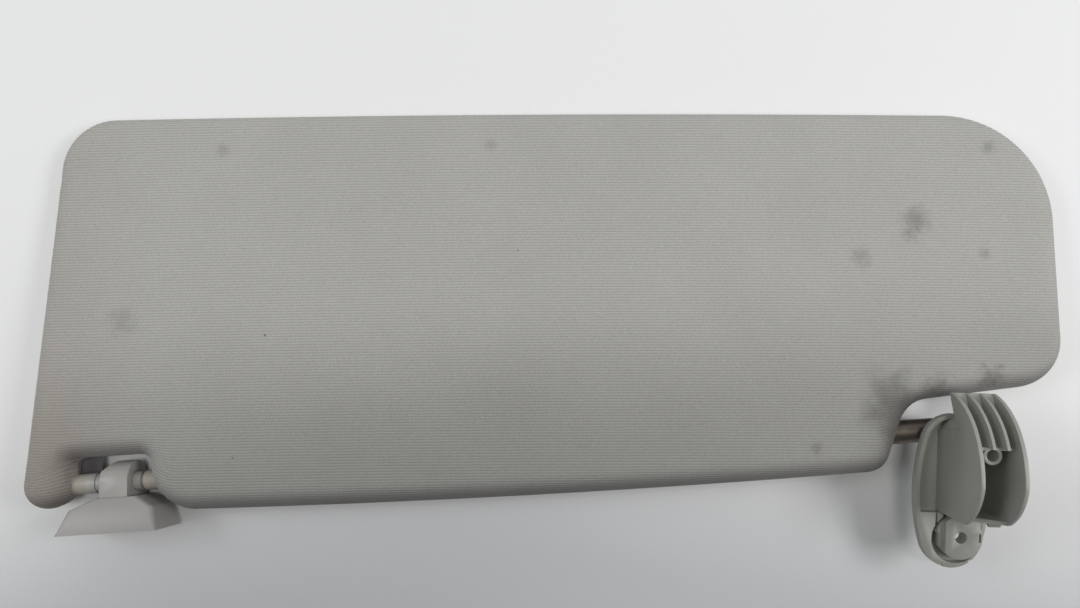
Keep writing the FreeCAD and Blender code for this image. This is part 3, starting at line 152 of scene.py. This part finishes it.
def mesh_object(name, points, faces, smooth=True):
    """A mesh object from an array of points in millimetres and a list or array of faces."""
    mesh = bpy.data.meshes.new(name)
    places = [tuple(point) for point in np.asarray(points) * METRES]
    mesh.from_pydata(places, [], [list(map(int, face)) for face in faces])
    mesh.polygons.foreach_set("use_smooth", np.full(len(mesh.polygons), smooth))
    mesh.update()
    thing = bpy.data.objects.new(name, mesh)
    bpy.context.scene.collection.objects.link(thing)
    return thing


table_reach = 3000.0
table_gap = 0.15
centre_x, centre_y = hinge[0] + camera_from_leg[0], hinge[1] + camera_from_leg[1]
corners = [(-1, -1), (1, -1), (1, 1), (-1, 1)]
table = mesh_object(
    "table",
    [(centre_x + table_reach * i, centre_y + table_reach * j, table_level - table_gap) for i, j in corners],
    [(0, 1, 2, 3)],
    smooth=False,
)
material, tree = new_material("melamine_table")
laminate = add_node(tree, "ShaderNodeBsdfPrincipled", inputs={
    "Base Color": linear("DCDCDA"), "Roughness": 0.55, "Specular IOR Level": 0.3,
})
finish_shader(tree, laminate)
table.data.materials.append(material)


# A ceiling panel lights the table from straight above. The person who takes the picture stands at the
# hinge side and shades it there, and weak light comes in low from both sides.
def panel(name, place, aim, width, height, power, colour):
    """A rectangular area lamp that looks from one point to another, both counted from the table's centre."""
    lamp_data = bpy.data.lights.new(name, "AREA")
    lamp_data.shape = "RECTANGLE"
    lamp_data.size = width * METRES
    lamp_data.size_y = height * METRES
    lamp_data.energy = power
    lamp_data.color = linear(colour)[:3]
    lamp = bpy.data.objects.new(name, lamp_data)
    centre = Vector((centre_x, centre_y, table_level))
    lamp.location = (centre + Vector(place)) * METRES
    lamp.rotation_euler = (Vector(aim) - Vector(place)).to_track_quat("-Z", "Y").to_euler()
    bpy.context.scene.collection.objects.link(lamp)


panel("ceiling", (30, 55, 1500), (20, 20, 0), 360, 430, 7.4, "FFFDFA")
panel("left_window", (-760, 160, 760), (0, 0, 0), 500, 300, 2.7, "F6F8FF")
panel("right_window", (780, -20, 760), (0, 0, 0), 500, 300, 4.5, "FBFBFF")

# The photographer leans over the hinge side. A flat dark form with a rounded front edge, and a wall
# behind it, throw the same broad shade. The camera doesn't see it.
shade_level = 306.0
shade_edge = -30.0
shade_reach = 500.0
shoulder_edge = shade_edge - 60
shade = mesh_object(
    "photographer",
    [(centre_x + x, centre_y + y, table_level + shade_level) for x, y in (
        (-shade_reach, -shade_reach), (shade_reach, -shade_reach), (230, shoulder_edge + 2),
        (110, shade_edge - 27), (0, shade_edge), (-130, shade_edge - 14), (-230, shoulder_edge - 2),
    )] + [(centre_x + x, centre_y - shade_reach, table_level) for x in (-shade_reach, shade_reach)],
    [(0, 1, 2, 3, 4, 5, 6), (0, 7, 8, 1)],
    smooth=False,
)
shade.visible_camera = False
material, tree = new_material("dark_wool_cloth")
wool = add_node(tree, "ShaderNodeBsdfPrincipled", inputs={"Base Color": linear("3A3A3C"), "Roughness": 0.9})
finish_shader(tree, wool)
shade.data.materials.append(material)

# The walls of a pale room fill the shade with an even and slightly cool light.
world = bpy.data.worlds.new("room")
bpy.context.scene.world = world
world.use_nodes = True
room_light = world.node_tree.nodes["Background"]
room_light.inputs["Color"].default_value = linear("F4F6FA")
room_light.inputs["Strength"].default_value = 0.5

# The board: a foam core in a glued cover of grey knitted fabric with fine ribs that follow the free
# edge. The cover is pulled round the rim and welded along the middle, back half to front half. Places
# are counted from the bracket's leg and the hinge line, and each corner has its own radius.
axis_height = 11.5
free_thickness = 9.0
hinge_rounding = 10.4
free_rounding = 4.0
left_top = (-369.7, 156.3)
right_top = (52.4, 131.0)
step_right = (48.4, 17.2)
step_inner = (-18.2, 13.1)
heel = (-30.7, -15.2)
notch_right = -339.3
notch_left = -372.3
notch_top = 11.4
mouth_level = -12.2
lobe_centre = (-382.7, 1.4)
lobe_radius = 10.4
free_bow = 2.1
heel_bow = 2.2
free_right_radius = 47.0
step_right_radius = 20.5
step_inner_radius = 14.0
heel_radius = 10.5
mouth_radius = 20.0
notch_radius = 3.5
free_left_radius = 23.0
rib_pitch = 1.17
rib_height = 0.2
rows_per_rib = 4
cloth_unit = 100.0


def bowed_line(start, end, rise, count):
    """Start plus s times the way to the end, moved left by rise times 4 s (1 - s), for s from 0 to 1."""
    s = np.linspace(0, 1, count)[:, None]
    start, end = np.array(start), np.array(end)
    way = end - start
    left = np.array([-way[1], way[0]]) / np.hypot(*way)
    return start + s * way + left * rise * 4 * s * (1 - s)


def turned_corner(before, after, radius):
    """The arc that rounds the corner between two lines, and how far back along each it starts."""
    corner = before[-1]
    arriving = (before[-1] - before[-2]) / np.hypot(*(before[-1] - before[-2]))
    leaving = (after[1] - after[0]) / np.hypot(*(after[1] - after[0]))
    turn = math.atan2(arriving[0] * leaving[1] - arriving[1] * leaving[0], arriving @ leaving)
    reach = radius * math.tan(abs(turn) / 2)
    start = corner - arriving * reach
    centre = start + math.copysign(radius, turn) * np.array([-arriving[1], arriving[0]])
    angles = np.linspace(0, turn, max(4, int(abs(turn) * radius / 0.8)) + 1)
    spoke = start - centre
    arc = centre + np.stack([
        spoke[0] * np.cos(angles) - spoke[1] * np.sin(angles),
        spoke[0] * np.sin(angles) + spoke[1] * np.cos(angles),
    ], axis=1)
    return arc, reach


def board_outline():
    """The closed outline of the board about the leg and the hinge line, clockwise, as an array of points."""
    lobe = np.array(lobe_centre)
    way = np.array(left_top) - lobe
    span = np.hypot(*way)
    lean = math.acos(lobe_radius / span)
    heading = math.atan2(way[1], way[0]) + lean
    last_angle = heading - 2 * math.pi
    lobe_angles = np.linspace(0, last_angle, 40)
    lobe_arc = lobe + lobe_radius * np.stack([np.cos(lobe_angles), np.sin(lobe_angles)], axis=1)
    wall_foot = (notch_left, lobe_centre[1])
    left_end = np.concatenate([[(notch_left, notch_top)], [wall_foot], lobe_arc[1:], [left_top]])
    lines = [
        (bowed_line(left_top, right_top, free_bow, 60), free_right_radius),
        (bowed_line(right_top, step_right, 0, 2), step_right_radius),
        (bowed_line(step_right, step_inner, 0, 2), step_inner_radius),
        (bowed_line(step_inner, heel, 0, 2), heel_radius),
        (bowed_line(heel, (notch_right, mouth_level), heel_bow, 60), mouth_radius),
        (bowed_line((notch_right, mouth_level), (notch_right, notch_top), 0, 2), notch_radius),
        (bowed_line((notch_right, notch_top), (notch_left, notch_top), 0, 2), notch_radius),
        (left_end, free_left_radius),
    ]
    turns = [
        turned_corner(line, lines[(number + 1) % len(lines)][0], radius)
        for number, (line, radius) in enumerate(lines)
    ]
    loop = []
    for number, (line, _) in enumerate(lines):
        from_start = np.hypot(*(line - line[0]).T) > turns[number - 1][1] + 0.01
        from_end = np.hypot(*(line - line[-1]).T) > turns[number][1] + 0.01
        loop.append(line[from_start & from_end])
        loop.append(turns[number][0])
    return np.concatenate(loop)


def distance_inside(points, loop):
    """How far each point is inside a closed loop, negative outside, and the way inwards from the rim."""
    starts, ends = loop, np.roll(loop, -1, axis=0)
    way = ends - starts
    length = np.hypot(*way.T)
    keep = length > 1e-9
    starts, ends, way, length = starts[keep], ends[keep], way[keep], length[keep]
    best = np.full(len(points), 1e18)
    foot = np.zeros_like(points)
    inside = np.zeros(len(points), bool)
    for start, end, along, long in zip(starts, ends, way, length):
        offset = points - start
        share = np.clip(offset @ along / long ** 2, 0, 1)
        near = start + share[:, None] * along
        gap = np.sum((points - near) ** 2, axis=1)
        closer = gap < best
        best[closer] = gap[closer]
        foot[closer] = near[closer]
        crosses = (start[1] > points[:, 1]) != (end[1] > points[:, 1])
        if along[1] != 0:
            reach = start[0] + (points[:, 1] - start[1]) * along[0] / along[1]
            inside ^= crosses & (points[:, 0] < reach)
    distance = np.sqrt(best)
    inward = (points - foot) / np.maximum(distance, 1e-9)[:, None]
    inward[~inside] *= -1
    return np.where(inside, distance, -distance), inward


def smooth_step(value, low, high):
    """0 below low, 1 above high and 3 s squared less 2 s cubed between."""
    s = np.clip((value - low) / (high - low), 0, 1)
    return s * s * (3 - 2 * s)


# The cloth that goes round a quarter of the rim is longer than the plan width it covers, by roll_gain.
quarter_turn = math.pi / 2
roll_gain = hinge_rounding * (quarter_turn - 1)
notch_middle = (notch_left + notch_right) / 2
bend_reach = 13.0


def top_edge(x):
    """The free edge: the chord between its ends plus the bow."""
    s = (x - left_top[0]) / (right_top[0] - left_top[0])
    return left_top[1] + s * (right_top[1] - left_top[1]) + free_bow * 4 * s * (1 - s)


def heel_edge(x):
    """The hinge-side edge, with its bow downwards."""
    s = (x - heel[0]) / (notch_right - heel[0])
    return heel[1] + s * (mouth_level - heel[1]) - heel_bow * 4 * s * (1 - s)


def step_edge(x):
    """The edge of the step that clears the bracket."""
    s = (x - step_inner[0]) / (step_right[0] - step_inner[0])
    return step_inner[1] + s * (step_right[1] - step_inner[1])


def wrapped(height, radius):
    """Flat fabric laid over a round rim: the plan distance of a point that is so far along the cloth."""
    along = height + radius * (quarter_turn - 1)
    rolled = radius * (1 - np.cos(np.clip(along / radius, 0, quarter_turn)))
    return np.where(along < 0, along, np.where(along < radius * quarter_turn, rolled, height))


def rib_row(x, down):
    """The plan height of the rib line that lies a given way down the cloth from the free edge, at each x.

    It is parallel to the free edge, and it is drawn in over the round of each edge that it meets. The
    share of the notch's round fades out over bend_reach at both sides of the notch.
    """
    flat = top_edge(x) - wrapped_inverse_top(down)
    over_notch = top_edge(notch_middle) - wrapped_inverse_top(down) - notch_top
    rise = wrapped(over_notch, hinge_rounding) - over_notch
    rise_below = roll_gain * np.exp(np.minimum(over_notch + roll_gain, 0) / 6.0)
    rise = np.where(over_notch + roll_gain < 0, rise_below, rise)
    slope = (top_edge(notch_right) - top_edge(notch_left)) / (notch_right - notch_left)
    level = np.exp(-((over_notch + 3.0) / 14.0) ** 2)
    past_left = smooth_step(x, notch_left - bend_reach, notch_left + notch_radius)
    past_right = smooth_step(x, notch_right - notch_radius, notch_right + bend_reach)
    y = flat + past_left * (1 - past_right) * (rise - level * slope * (x - notch_middle))
    over_heel = y - heel_edge(x)
    y = heel_edge(x) + wrapped(over_heel, hinge_rounding)
    over_step = y - step_edge(x)
    right_side = smooth_step(x, heel[0] - 4, step_inner[0] + 3)
    return y + right_side * np.where(
        over_step > -12, wrapped(over_step, hinge_rounding) - over_step, roll_gain
    )


def wrapped_inverse_top(down):
    """The plan distance from the free edge of a point that is so far down the cloth from the rim."""
    rolled = free_rounding * (1 - np.cos(np.clip(down / free_rounding, 0, quarter_turn)))
    return np.where(down < free_rounding * quarter_turn, rolled, down - free_rounding * (quarter_turn - 1))


def spaced(count, ends, end_share):
    """Shares from 0 to 1 that lie closer together near both ends."""
    rim = 1 - np.cos(np.linspace(0, quarter_turn, ends + 1))
    inner = np.linspace(end_share, 1 - end_share, count - 2 * ends + 1)
    return np.concatenate([rim[:-1] * end_share, inner, 1 - rim[:-1][::-1] * end_share])


# Columns of the grid: left of the notch, across it and right of it. The first two blocks have one width.
left_columns = 16
middle_columns = 10
right_columns = 108
block_width = 26.0


def rim_crossings(loop, down, x_in, x_out, d_in, d_out):
    """Where each rib leaves the outline between a point inside and one outside, by false position."""
    for _ in range(5):
        x = x_in + (x_out - x_in) * d_in / (d_in - d_out)
        d, _ = distance_inside(np.column_stack([x, rib_row(x, down)]), loop)
        inner = d > 0
        x_in, d_in = np.where(inner, x, x_in), np.where(inner, d, d_in)
        x_out, d_out = np.where(inner, x_out, x), np.where(inner, d_out, d)
    return x_in


def board_grid(loop):
    """Plan points of the cloth on a grid of rib lines and columns, with the distance down the cloth.

    Each line runs between the crossings of its rib with the outline. Lines below the notch's top edge
    are in two parts, and the columns between them stay empty.
    """
    down = np.arange(0.02, 190.0, rib_pitch / rows_per_rib)
    reach = np.arange(-400.0, 56.0, 2.0)
    grid_x, grid_down = np.meshgrid(reach, down)
    depth, _ = distance_inside(np.column_stack([grid_x.ravel(), rib_row(grid_x, grid_down).ravel()]), loop)
    depth = depth.reshape(grid_x.shape)
    whole = top_edge(notch_middle) - wrapped_inverse_top(down) - notch_top + roll_gain >= 0
    columns = left_columns + middle_columns + right_columns + 1
    plan_x = np.full((len(down), columns), np.nan)
    left_shares = spaced(left_columns, 6, 0.45)
    right_shares = spaced(right_columns, 8, 0.034)

    def span(rows, here):
        """The rows that have samples inside in this part, and both ends of each of them."""
        inside = (depth > 0) & here
        rows = rows[inside[rows].sum(axis=1) > 2]
        first = np.argmax(inside[rows], axis=1)
        last = len(reach) - 1 - np.argmax(inside[rows][:, ::-1], axis=1)
        ends = [
            rim_crossings(loop, down[rows], reach[near], reach[far], depth[rows, near], depth[rows, far])
            for near, far in ((first, first - 1), (last, last + 1))
        ]
        return rows, ends[0][:, None], ends[1][:, None]

    rows, start, end = span(np.flatnonzero(whole), reach > -1e3)
    block = block_width * np.minimum(1.0, (end - start) / 300)
    plan_x[rows, :left_columns + 1] = start + block * left_shares
    plan_x[rows, left_columns:left_columns + middle_columns + 1] = start + block + block * np.linspace(
        0, 1, middle_columns + 1
    )
    long_start = start + 2 * block
    plan_x[rows, left_columns + middle_columns:] = long_start + (end - long_start) * right_shares
    rows, start, end = span(np.flatnonzero(~whole), reach < notch_middle)
    plan_x[rows, :left_columns + 1] = start + (end - start) * left_shares
    rows, start, end = span(np.flatnonzero(~whole), reach > notch_middle)
    plan_x[rows, left_columns + middle_columns:] = start + (end - start) * right_shares
    used = np.isfinite(plan_x).any(axis=1)
    plan_x, down = plan_x[used], down[used]
    grid_down = np.repeat(down[:, None], columns, axis=1)
    return plan_x, rib_row(np.nan_to_num(plan_x), grid_down), grid_down


def soft_waves(x, y, seed, count, shortest, longest):
    """A sum of sine waves of random way, length and phase, from -1 to 1 or so."""
    chance = np.random.default_rng(seed)
    total = np.zeros_like(x)
    for _ in range(count):
        length = chance.uniform(shortest, longest)
        way = chance.uniform(0, math.pi)
        phase = chance.uniform(0, 2 * math.pi)
        total += np.sin((x * math.cos(way) + y * math.sin(way)) * 2 * math.pi / length + phase)
    return total / math.sqrt(count)


def crease(points, start, end, width, depth):
    """A shallow dent along a line: depth times e to the power of minus (distance / width) squared."""
    start, end = np.array(start), np.array(end)
    way = end - start
    share = np.clip((points - start) @ way / (way @ way), 0, 1)
    gap = np.hypot(*(points - start - share[:, None] * way).T)
    return -depth * np.exp(-(gap / width) ** 2) * np.sin(math.pi * np.clip(share, 0.08, 0.92))


# Each crease has its start, end, width and depth. The last three lie at the step and beside the notch.
creases = (
    ((-141.3, 127.6), (-118.0, 96.0), 2.0, 0.22), ((-128.0, 128.0), (-88.0, 112.0), 2.4, 0.2),
    ((-112.0, 118.0), (-84.0, 98.0), 1.8, 0.16), ((-36.0, 30.0), (-24.0, 4.0), 3.0, 0.5),
    ((-340.0, 40.0), (-330.0, 16.0), 3.0, 0.35), ((-372.0, 34.0), (-366.0, 14.0), 3.0, 0.4),
)


def half_thickness(y):
    """Half the board's thickness, which falls evenly from the hinge line to the free edge."""
    return axis_height - y * (axis_height - free_thickness / 2) / left_top[1]


def middle_level(y):
    """The level of the board's middle plane, which runs through the hinge line."""
    return hinge[2] - axis_height + half_thickness(y)


def grid_quads(number):
    """The four corners of every cell of a grid of point numbers."""
    cells = [number[:-1, :-1], number[1:, :-1], number[1:, 1:], number[:-1, 1:]]
    return np.stack(cells, axis=-1).reshape(-1, 4)


def cover_half(name, side, seed):
    """One half of the cover, back (side 1) or front (side -1), as a closed sheet down to the weld.

    Height over the middle plane = half thickness - r + the root of r squared - (r - d) squared, where d
    is the distance from the outline, up to r, and r the rim's rounding. Ribs stand out along the normal.
    """
    valid = np.isfinite(grid_x)
    points = np.column_stack([grid_x[valid], grid_y[valid]])
    depth = np.maximum(grid_depth, 0)
    share = np.clip((points[:, 1] - notch_top) / (left_top[1] - notch_top), 0, 1)
    radius = hinge_rounding * (1 - share) + free_rounding * share
    leaning = np.clip(1 - depth / radius, 0, 1)
    upright = np.sqrt(1 - leaning ** 2)
    height = half_thickness(points[:, 1]) - radius + radius * upright
    outward = -grid_inward * leaning[:, None]
    phase = grid_down[valid] / rib_pitch
    rib = rib_height * (abs(np.sin(math.pi * phase)) ** 0.7 - 0.5)
    waves = 0.16 * soft_waves(points[:, 0], points[:, 1], seed, 9, 45, 160)
    lift = rib + waves * np.clip(depth / 12, 0, 1)
    if side > 0:
        lift = lift + sum(crease(points, *shape) for shape in creases)
    place = points + outward * lift[:, None]
    level = middle_level(points[:, 1]) + side * (height + upright * lift)
    if side < 0:
        level = np.maximum(level, table_level)
    solid = np.column_stack([place + hinge[:2], level])
    number = np.full(grid_x.shape, -1)
    number[valid] = np.arange(valid.sum())
    quads = grid_quads(number)
    quads = quads[(quads >= 0).all(axis=1)]
    edges = np.concatenate([quads[:, [0, 1]], quads[:, [1, 2]], quads[:, [2, 3]], quads[:, [3, 0]]])
    _, edge_number, counts = np.unique(
        np.sort(edges, axis=1), axis=0, return_inverse=True, return_counts=True
    )
    rim = edges[counts[edge_number.ravel()] == 1]
    rim_points = np.unique(rim)
    below = np.full(len(solid), -1)
    below[rim_points] = len(solid) + np.arange(len(rim_points))
    weld = points[rim_points] - grid_inward[rim_points] * depth[rim_points, None]
    seam = np.column_stack([weld + hinge[:2], middle_level(weld[:, 1])])
    skirt = np.column_stack([rim[:, 1], rim[:, 0], below[rim[:, 0]], below[rim[:, 1]]])
    faces = np.concatenate([quads, skirt])
    if side < 0:
        faces = faces[:, ::-1]
    cover = mesh_object(name, np.concatenate([solid, seam]), faces)
    along = np.concatenate([points[:, 0], points[rim_points, 0]])
    across = np.concatenate([grid_down[valid], grid_down[valid][rim_points]])
    loops = np.zeros(len(cover.data.loops), int)
    cover.data.loops.foreach_get("vertex_index", loops)
    cloth = np.column_stack([along[loops], across[loops]]) / cloth_unit
    cover.data.uv_layers.new(name="cloth").data.foreach_set("uv", cloth.ravel())
    # Painted shade: the cloth is made darker towards the hinge side and on the rim where it turns down
    # towards the hinge.
    turned_down = smooth_step(-outward[:, 1], 0.12, 0.85)
    near_hinge = 0.3 * smooth_step(75 - points[:, 1], 0, 60)
    handled = near_hinge + 0.66 * turned_down * smooth_step(40 - points[:, 1], 0, 20)
    near_clip = smooth_step(-points[:, 0], 335, 388)
    browned = near_clip * (0.45 + 0.55 * smooth_step(60 - points[:, 1], 0, 70))
    for label, values in (("handled", handled), ("browned", browned)):
        layer = cover.data.attributes.new(label, "FLOAT", "POINT")
        layer.data.foreach_set("value", np.concatenate([values, values[rim_points]]))
    return cover


outline = board_outline()
grid_x, grid_y, grid_down = board_grid(outline)
on_cloth = np.isfinite(grid_x)
grid_depth, grid_inward = distance_inside(np.column_stack([grid_x[on_cloth], grid_y[on_cloth]]), outline)
back = cover_half("back_fabric", 1, 11)
front = cover_half("front_fabric", -1, 12)

material, tree = new_material("ribbed_knit_fabric")
cloth = add_node(tree, "ShaderNodeUVMap", {"uv_map": "cloth"})
cloth_parts = add_node(tree, "ShaderNodeSeparateXYZ", inputs={"Vector": (cloth, "UV")})
rib_count = add_node(tree, "ShaderNodeMath", {"operation": "MULTIPLY"}, {
    0: (cloth_parts, "Y"), 1: cloth_unit / rib_pitch * math.pi,
})
rib_wave = add_node(tree, "ShaderNodeMath", {"operation": "SINE"}, {0: (rib_count, 0)})
rib_crest = add_node(tree, "ShaderNodeMath", {"operation": "ABSOLUTE"}, {0: (rib_wave, 0)})
place = add_node(tree, "ShaderNodeTexCoord")
mottle = add_node(tree, "ShaderNodeTexNoise", inputs={
    "Vector": (place, "Object"), "Scale": 22.0, "Detail": 5.0, "Roughness": 0.6,
})
fabric_colour = add_node(tree, "ShaderNodeMix", {"data_type": "RGBA"}, {
    "Factor": (mottle, 0), "A": linear("9F9E98"), "B": linear("AAA9A3"),
})
# The knit has fine stitches, so the colour flickers from yarn to yarn.
yarn = add_node(tree, "ShaderNodeTexNoise", inputs={
    "Vector": (place, "Object"), "Scale": 1500.0, "Detail": 2.0, "Roughness": 0.7,
})
flicker = add_node(tree, "ShaderNodeMapRange", inputs={
    "Value": (yarn, 0), "From Min": 0.3, "From Max": 0.7, "To Min": 0.9, "To Max": 1.08,
})
# Painted shade: the colour is darkened in the grooves between the ribs, and the yarn flicker is laid on top.
painted_groove_shade = add_node(tree, "ShaderNodeMapRange", inputs={
    "Value": (rib_crest, 0), "From Min": 0.0, "From Max": 0.7, "To Min": 0.74, "To Max": 1.0,
})
groove_shade_and_yarn_flicker = add_node(tree, "ShaderNodeMath", {"operation": "MULTIPLY"}, {0: (painted_groove_shade, 0), 1: (flicker, 0)})
rib_shaded_colour = add_node(tree, "ShaderNodeVectorMath", {"operation": "SCALE"}, {
    0: (fabric_colour, "Result"), "Scale": (groove_shade_and_yarn_flicker, 0),
})
# Painted shade darkens the cloth towards the hinge side and on the rim where it turns down towards the hinge.
# Use has browned the end at the clip, and left a few smudges and specks.
handled = add_node(tree, "ShaderNodeAttribute", {"attribute_name": "handled"})
browned = add_node(tree, "ShaderNodeAttribute", {"attribute_name": "browned"})
soiled_and_shaded = tinted(tree, (rib_shaded_colour, 0), (handled, "Fac"), 0.62, "5A5854")
soiled_and_shaded = tinted(tree, (soiled_and_shaded, "Result"), (browned, "Fac"), 0.5, "E6D2C4")
# Each mark has its place, radius, strength and raggedness.
marks = (
    (-9.8, 90.0, 8.5, 0.36, 0.45), (-13.0, 84.0, 6.0, 0.22, 0.5), (-34.4, 75.9, 7.0, 0.25, 0.6),
    (17.5, 73.8, 4.0, 0.25, 0.5), (-302.0, 138.7, 4.5, 0.22, 0.5), (-286.8, 58.5, 0.8, 0.8, 0.1),
    (-301.8, 8.7, 0.7, 0.6, 0.1), (-280.9, 43.7, 0.5, 0.6, 0.1), (-178.6, 87.6, 0.6, 0.7, 0.1),
    (-27.0, 13.0, 19.0, 0.5, 0.5), (15.0, 21.0, 9.0, 0.4, 0.7), (-8.2, 19.0, 9.0, 0.35, 0.7),
    (24.0, 118.5, 4.5, 0.28, 0.7), (-187.4, 133.5, 4.0, 0.2, 0.5), (-346.0, 68.6, 9.0, 0.18, 0.6),
    (-60.6, -2.5, 4.0, 0.3, 0.6),
)
for x, y, radius, strength, ragged in marks:
    level = middle_level(y) + half_thickness(y)
    spot = patch(tree, place, (x + hinge[0], y + hinge[1], level), radius, ragged)
    soiled_and_shaded = tinted(tree, (soiled_and_shaded, "Result"), (spot, 0), strength, "3C3A38")
knit = add_node(tree, "ShaderNodeBump", inputs={"Height": (yarn, 0), "Strength": 0.35, "Distance": 0.0002})
fabric = add_node(tree, "ShaderNodeBsdfPrincipled", inputs={
    "Base Color": (soiled_and_shaded, "Result"), "Roughness": 0.92, "Specular IOR Level": 0.2, "Sheen Weight": 0.15,
    "Normal": (knit, 0),
})
finish_shader(tree, fabric)
for cover, nodes in ((back, ("back_cover", "back_core")), (front, ("front_cover", "front_core"))):
    cover.data.materials.append(material)
    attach(cover, "visor")
    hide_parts(*nodes)

# Painted shade: a dark sheet stands for the deep shade in the notch beside the clip's hook.
# It is a small bent sheet under the left sleeve, between the notch's outer wall and the hook.
material, tree = new_material("painted_notch_shade")
notch_shade_bsdf = add_node(tree, "ShaderNodeBsdfPrincipled", inputs={
    "Base Color": linear("5E5B5C"), "Roughness": 0.95, "Specular IOR Level": 0.1,
})
finish_shader(tree, notch_shade_bsdf)
notch_shade_drop = 4.6
notch_shade_curl = 0.03
notch_shade_columns, notch_shade_rows = 13, 14
notch_shade_x, notch_shade_y = np.meshgrid(
    np.linspace(notch_left - 4, notch_left + 8, notch_shade_columns), np.linspace(0, notch_top + 2, notch_shade_rows)
)
notch_shade_level = middle_level(notch_shade_y) - notch_shade_drop + notch_shade_curl * np.clip(notch_left + 2 - notch_shade_x, 0, 9) ** 2
notch_shade_points = np.column_stack([notch_shade_x.ravel() + hinge[0], notch_shade_y.ravel() + hinge[1], notch_shade_level.ravel()])
notch_shade_quads = grid_quads(np.arange(notch_shade_rows * notch_shade_columns).reshape(notch_shade_rows, notch_shade_columns))[:, [0, 3, 2, 1]]
notch_shade_sheet = mesh_object("painted_shade_sheet", notch_shade_points, notch_shade_quads)
notch_shade_sheet.data.materials.append(material)
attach(notch_shade_sheet, "visor")


# The moulded pieces: the bracket of glass-filled nylon, the clip of acetal and the bushes inside. Their
# moulds were spark-eroded, which leaves a fine even grain and a dull sheen, with faint marks of the flow.
soft_edge = 0.22


def moulded(name, hex_colour, roughness, speck):
    """A moulded plastic, whose flow marks are paler than its colour by a share called speck."""
    material, tree = new_material(name)
    place = add_node(tree, "ShaderNodeTexCoord")
    flow = add_node(tree, "ShaderNodeTexNoise", inputs={
        "Vector": (place, "Object"), "Scale": 60.0, "Detail": 3.0,
    })
    dark = linear(hex_colour)
    pale = [min(1.0, channel * (1 + speck)) for channel in dark[:3]] + [1.0]
    colour = add_node(tree, "ShaderNodeMix", {"data_type": "RGBA"}, {
        "Factor": (flow, 0), "A": dark, "B": pale,
    })
    grain = add_node(tree, "ShaderNodeTexNoise", inputs={
        "Vector": (place, "Object"), "Scale": 2500.0, "Detail": 2.0,
    })
    bump = add_node(tree, "ShaderNodeBump", inputs={
        "Height": (grain, 0), "Strength": 0.25, "Distance": 0.0001,
    })
    plastic = add_node(tree, "ShaderNodeBsdfPrincipled", inputs={
        "Base Color": (colour, "Result"), "Roughness": roughness, "Normal": (bump, 0),
    })
    finish_shader(tree, plastic)
    return material


def softened(node, body, material):
    """Shows a copy of a moulded node in its place, with its edges rounded by soft_edge."""
    mesh = frame["nodes"][node].data.copy()
    shape = bmesh.new()
    shape.from_mesh(mesh)
    bmesh.ops.remove_doubles(shape, verts=shape.verts, dist=0.002 * METRES)
    bmesh.ops.dissolve_limit(
        shape, angle_limit=math.radians(1.0), use_dissolve_boundaries=False,
        verts=shape.verts, edges=shape.edges,
    )
    shape.to_mesh(mesh)
    shape.free()
    mesh.polygons.foreach_set("use_smooth", np.ones(len(mesh.polygons), bool))
    mesh.materials.clear()
    mesh.materials.append(material)
    thing = bpy.data.objects.new(node + "_moulding", mesh)
    bpy.context.scene.collection.objects.link(thing)
    bevel = thing.modifiers.new("soft_edges", "BEVEL")
    bevel.width = soft_edge * METRES
    bevel.segments = 2
    bevel.limit_method = "ANGLE"
    bevel.angle_limit = math.radians(32)
    bevel.harden_normals = True
    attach(thing, body)
    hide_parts(node)


def coat_node(node, material):
    """Gives a node of the frame a material in all its slots."""
    mesh = frame["nodes"][node].data
    mesh.materials.clear()
    mesh.materials.append(material)


bracket_plastic = moulded("glass_filled_nylon", "8A8A82", 0.42, 0.2)
clip_plastic = moulded("moulded_acetal", "9A9792", 0.38, 0.12)
beige_plastic = moulded("moulded_polypropylene", "989286", 0.5, 0.1)
black_plastic = moulded("moulded_nylon", "2A2A2A", 0.5, 0.2)

# The rod is a drawn steel tube whose thin plating has dulled and browned, in clouds a few millimetres wide.
steel_material, tree = new_material("tarnished_steel_tube")
place = add_node(tree, "ShaderNodeTexCoord")
tarnish = add_node(tree, "ShaderNodeTexNoise", inputs={
    "Vector": (place, "Object"), "Scale": 300.0, "Detail": 6.0, "Roughness": 0.7,
})
steel_colour = add_node(tree, "ShaderNodeMix", {"data_type": "RGBA"}, {
    "Factor": (tarnish, 0), "A": linear("4A443E"), "B": linear("9A9084"),
})
steel = add_node(tree, "ShaderNodeBsdfPrincipled", inputs={
    "Base Color": (steel_colour, "Result"), "Metallic": 0.85, "Roughness": 0.42,
})
finish_shader(tree, steel)

# The nodes that keep their own meshes, and then the four mouldings whose edges are seen close by.
for node, coat in (
    ("leg_bush", black_plastic), ("clip_pin", clip_plastic), ("pin_carrier", beige_plastic),
    ("rod_bush", black_plastic), ("hinge_housing", black_plastic), ("housing_cap", black_plastic),
    ("pivot_rod", steel_material), ("wire_frame", steel_material), ("housing_screws", steel_material),
    ("detent_spring", steel_material), ("retaining_ring", steel_material), ("spring_washer", steel_material),
):
    coat_node(node, coat)
for node, body, slot, coat in (
    ("escutcheon", "bracket", "bracket_plastic", bracket_plastic),
    ("mount_carrier", "bracket", "bracket_plastic", bracket_plastic),
    ("clip_hook", "clip", "grey_plastic", clip_plastic),
    ("clip_base", "clip", "grey_plastic", clip_plastic),
):
    softened(node, body, coat)
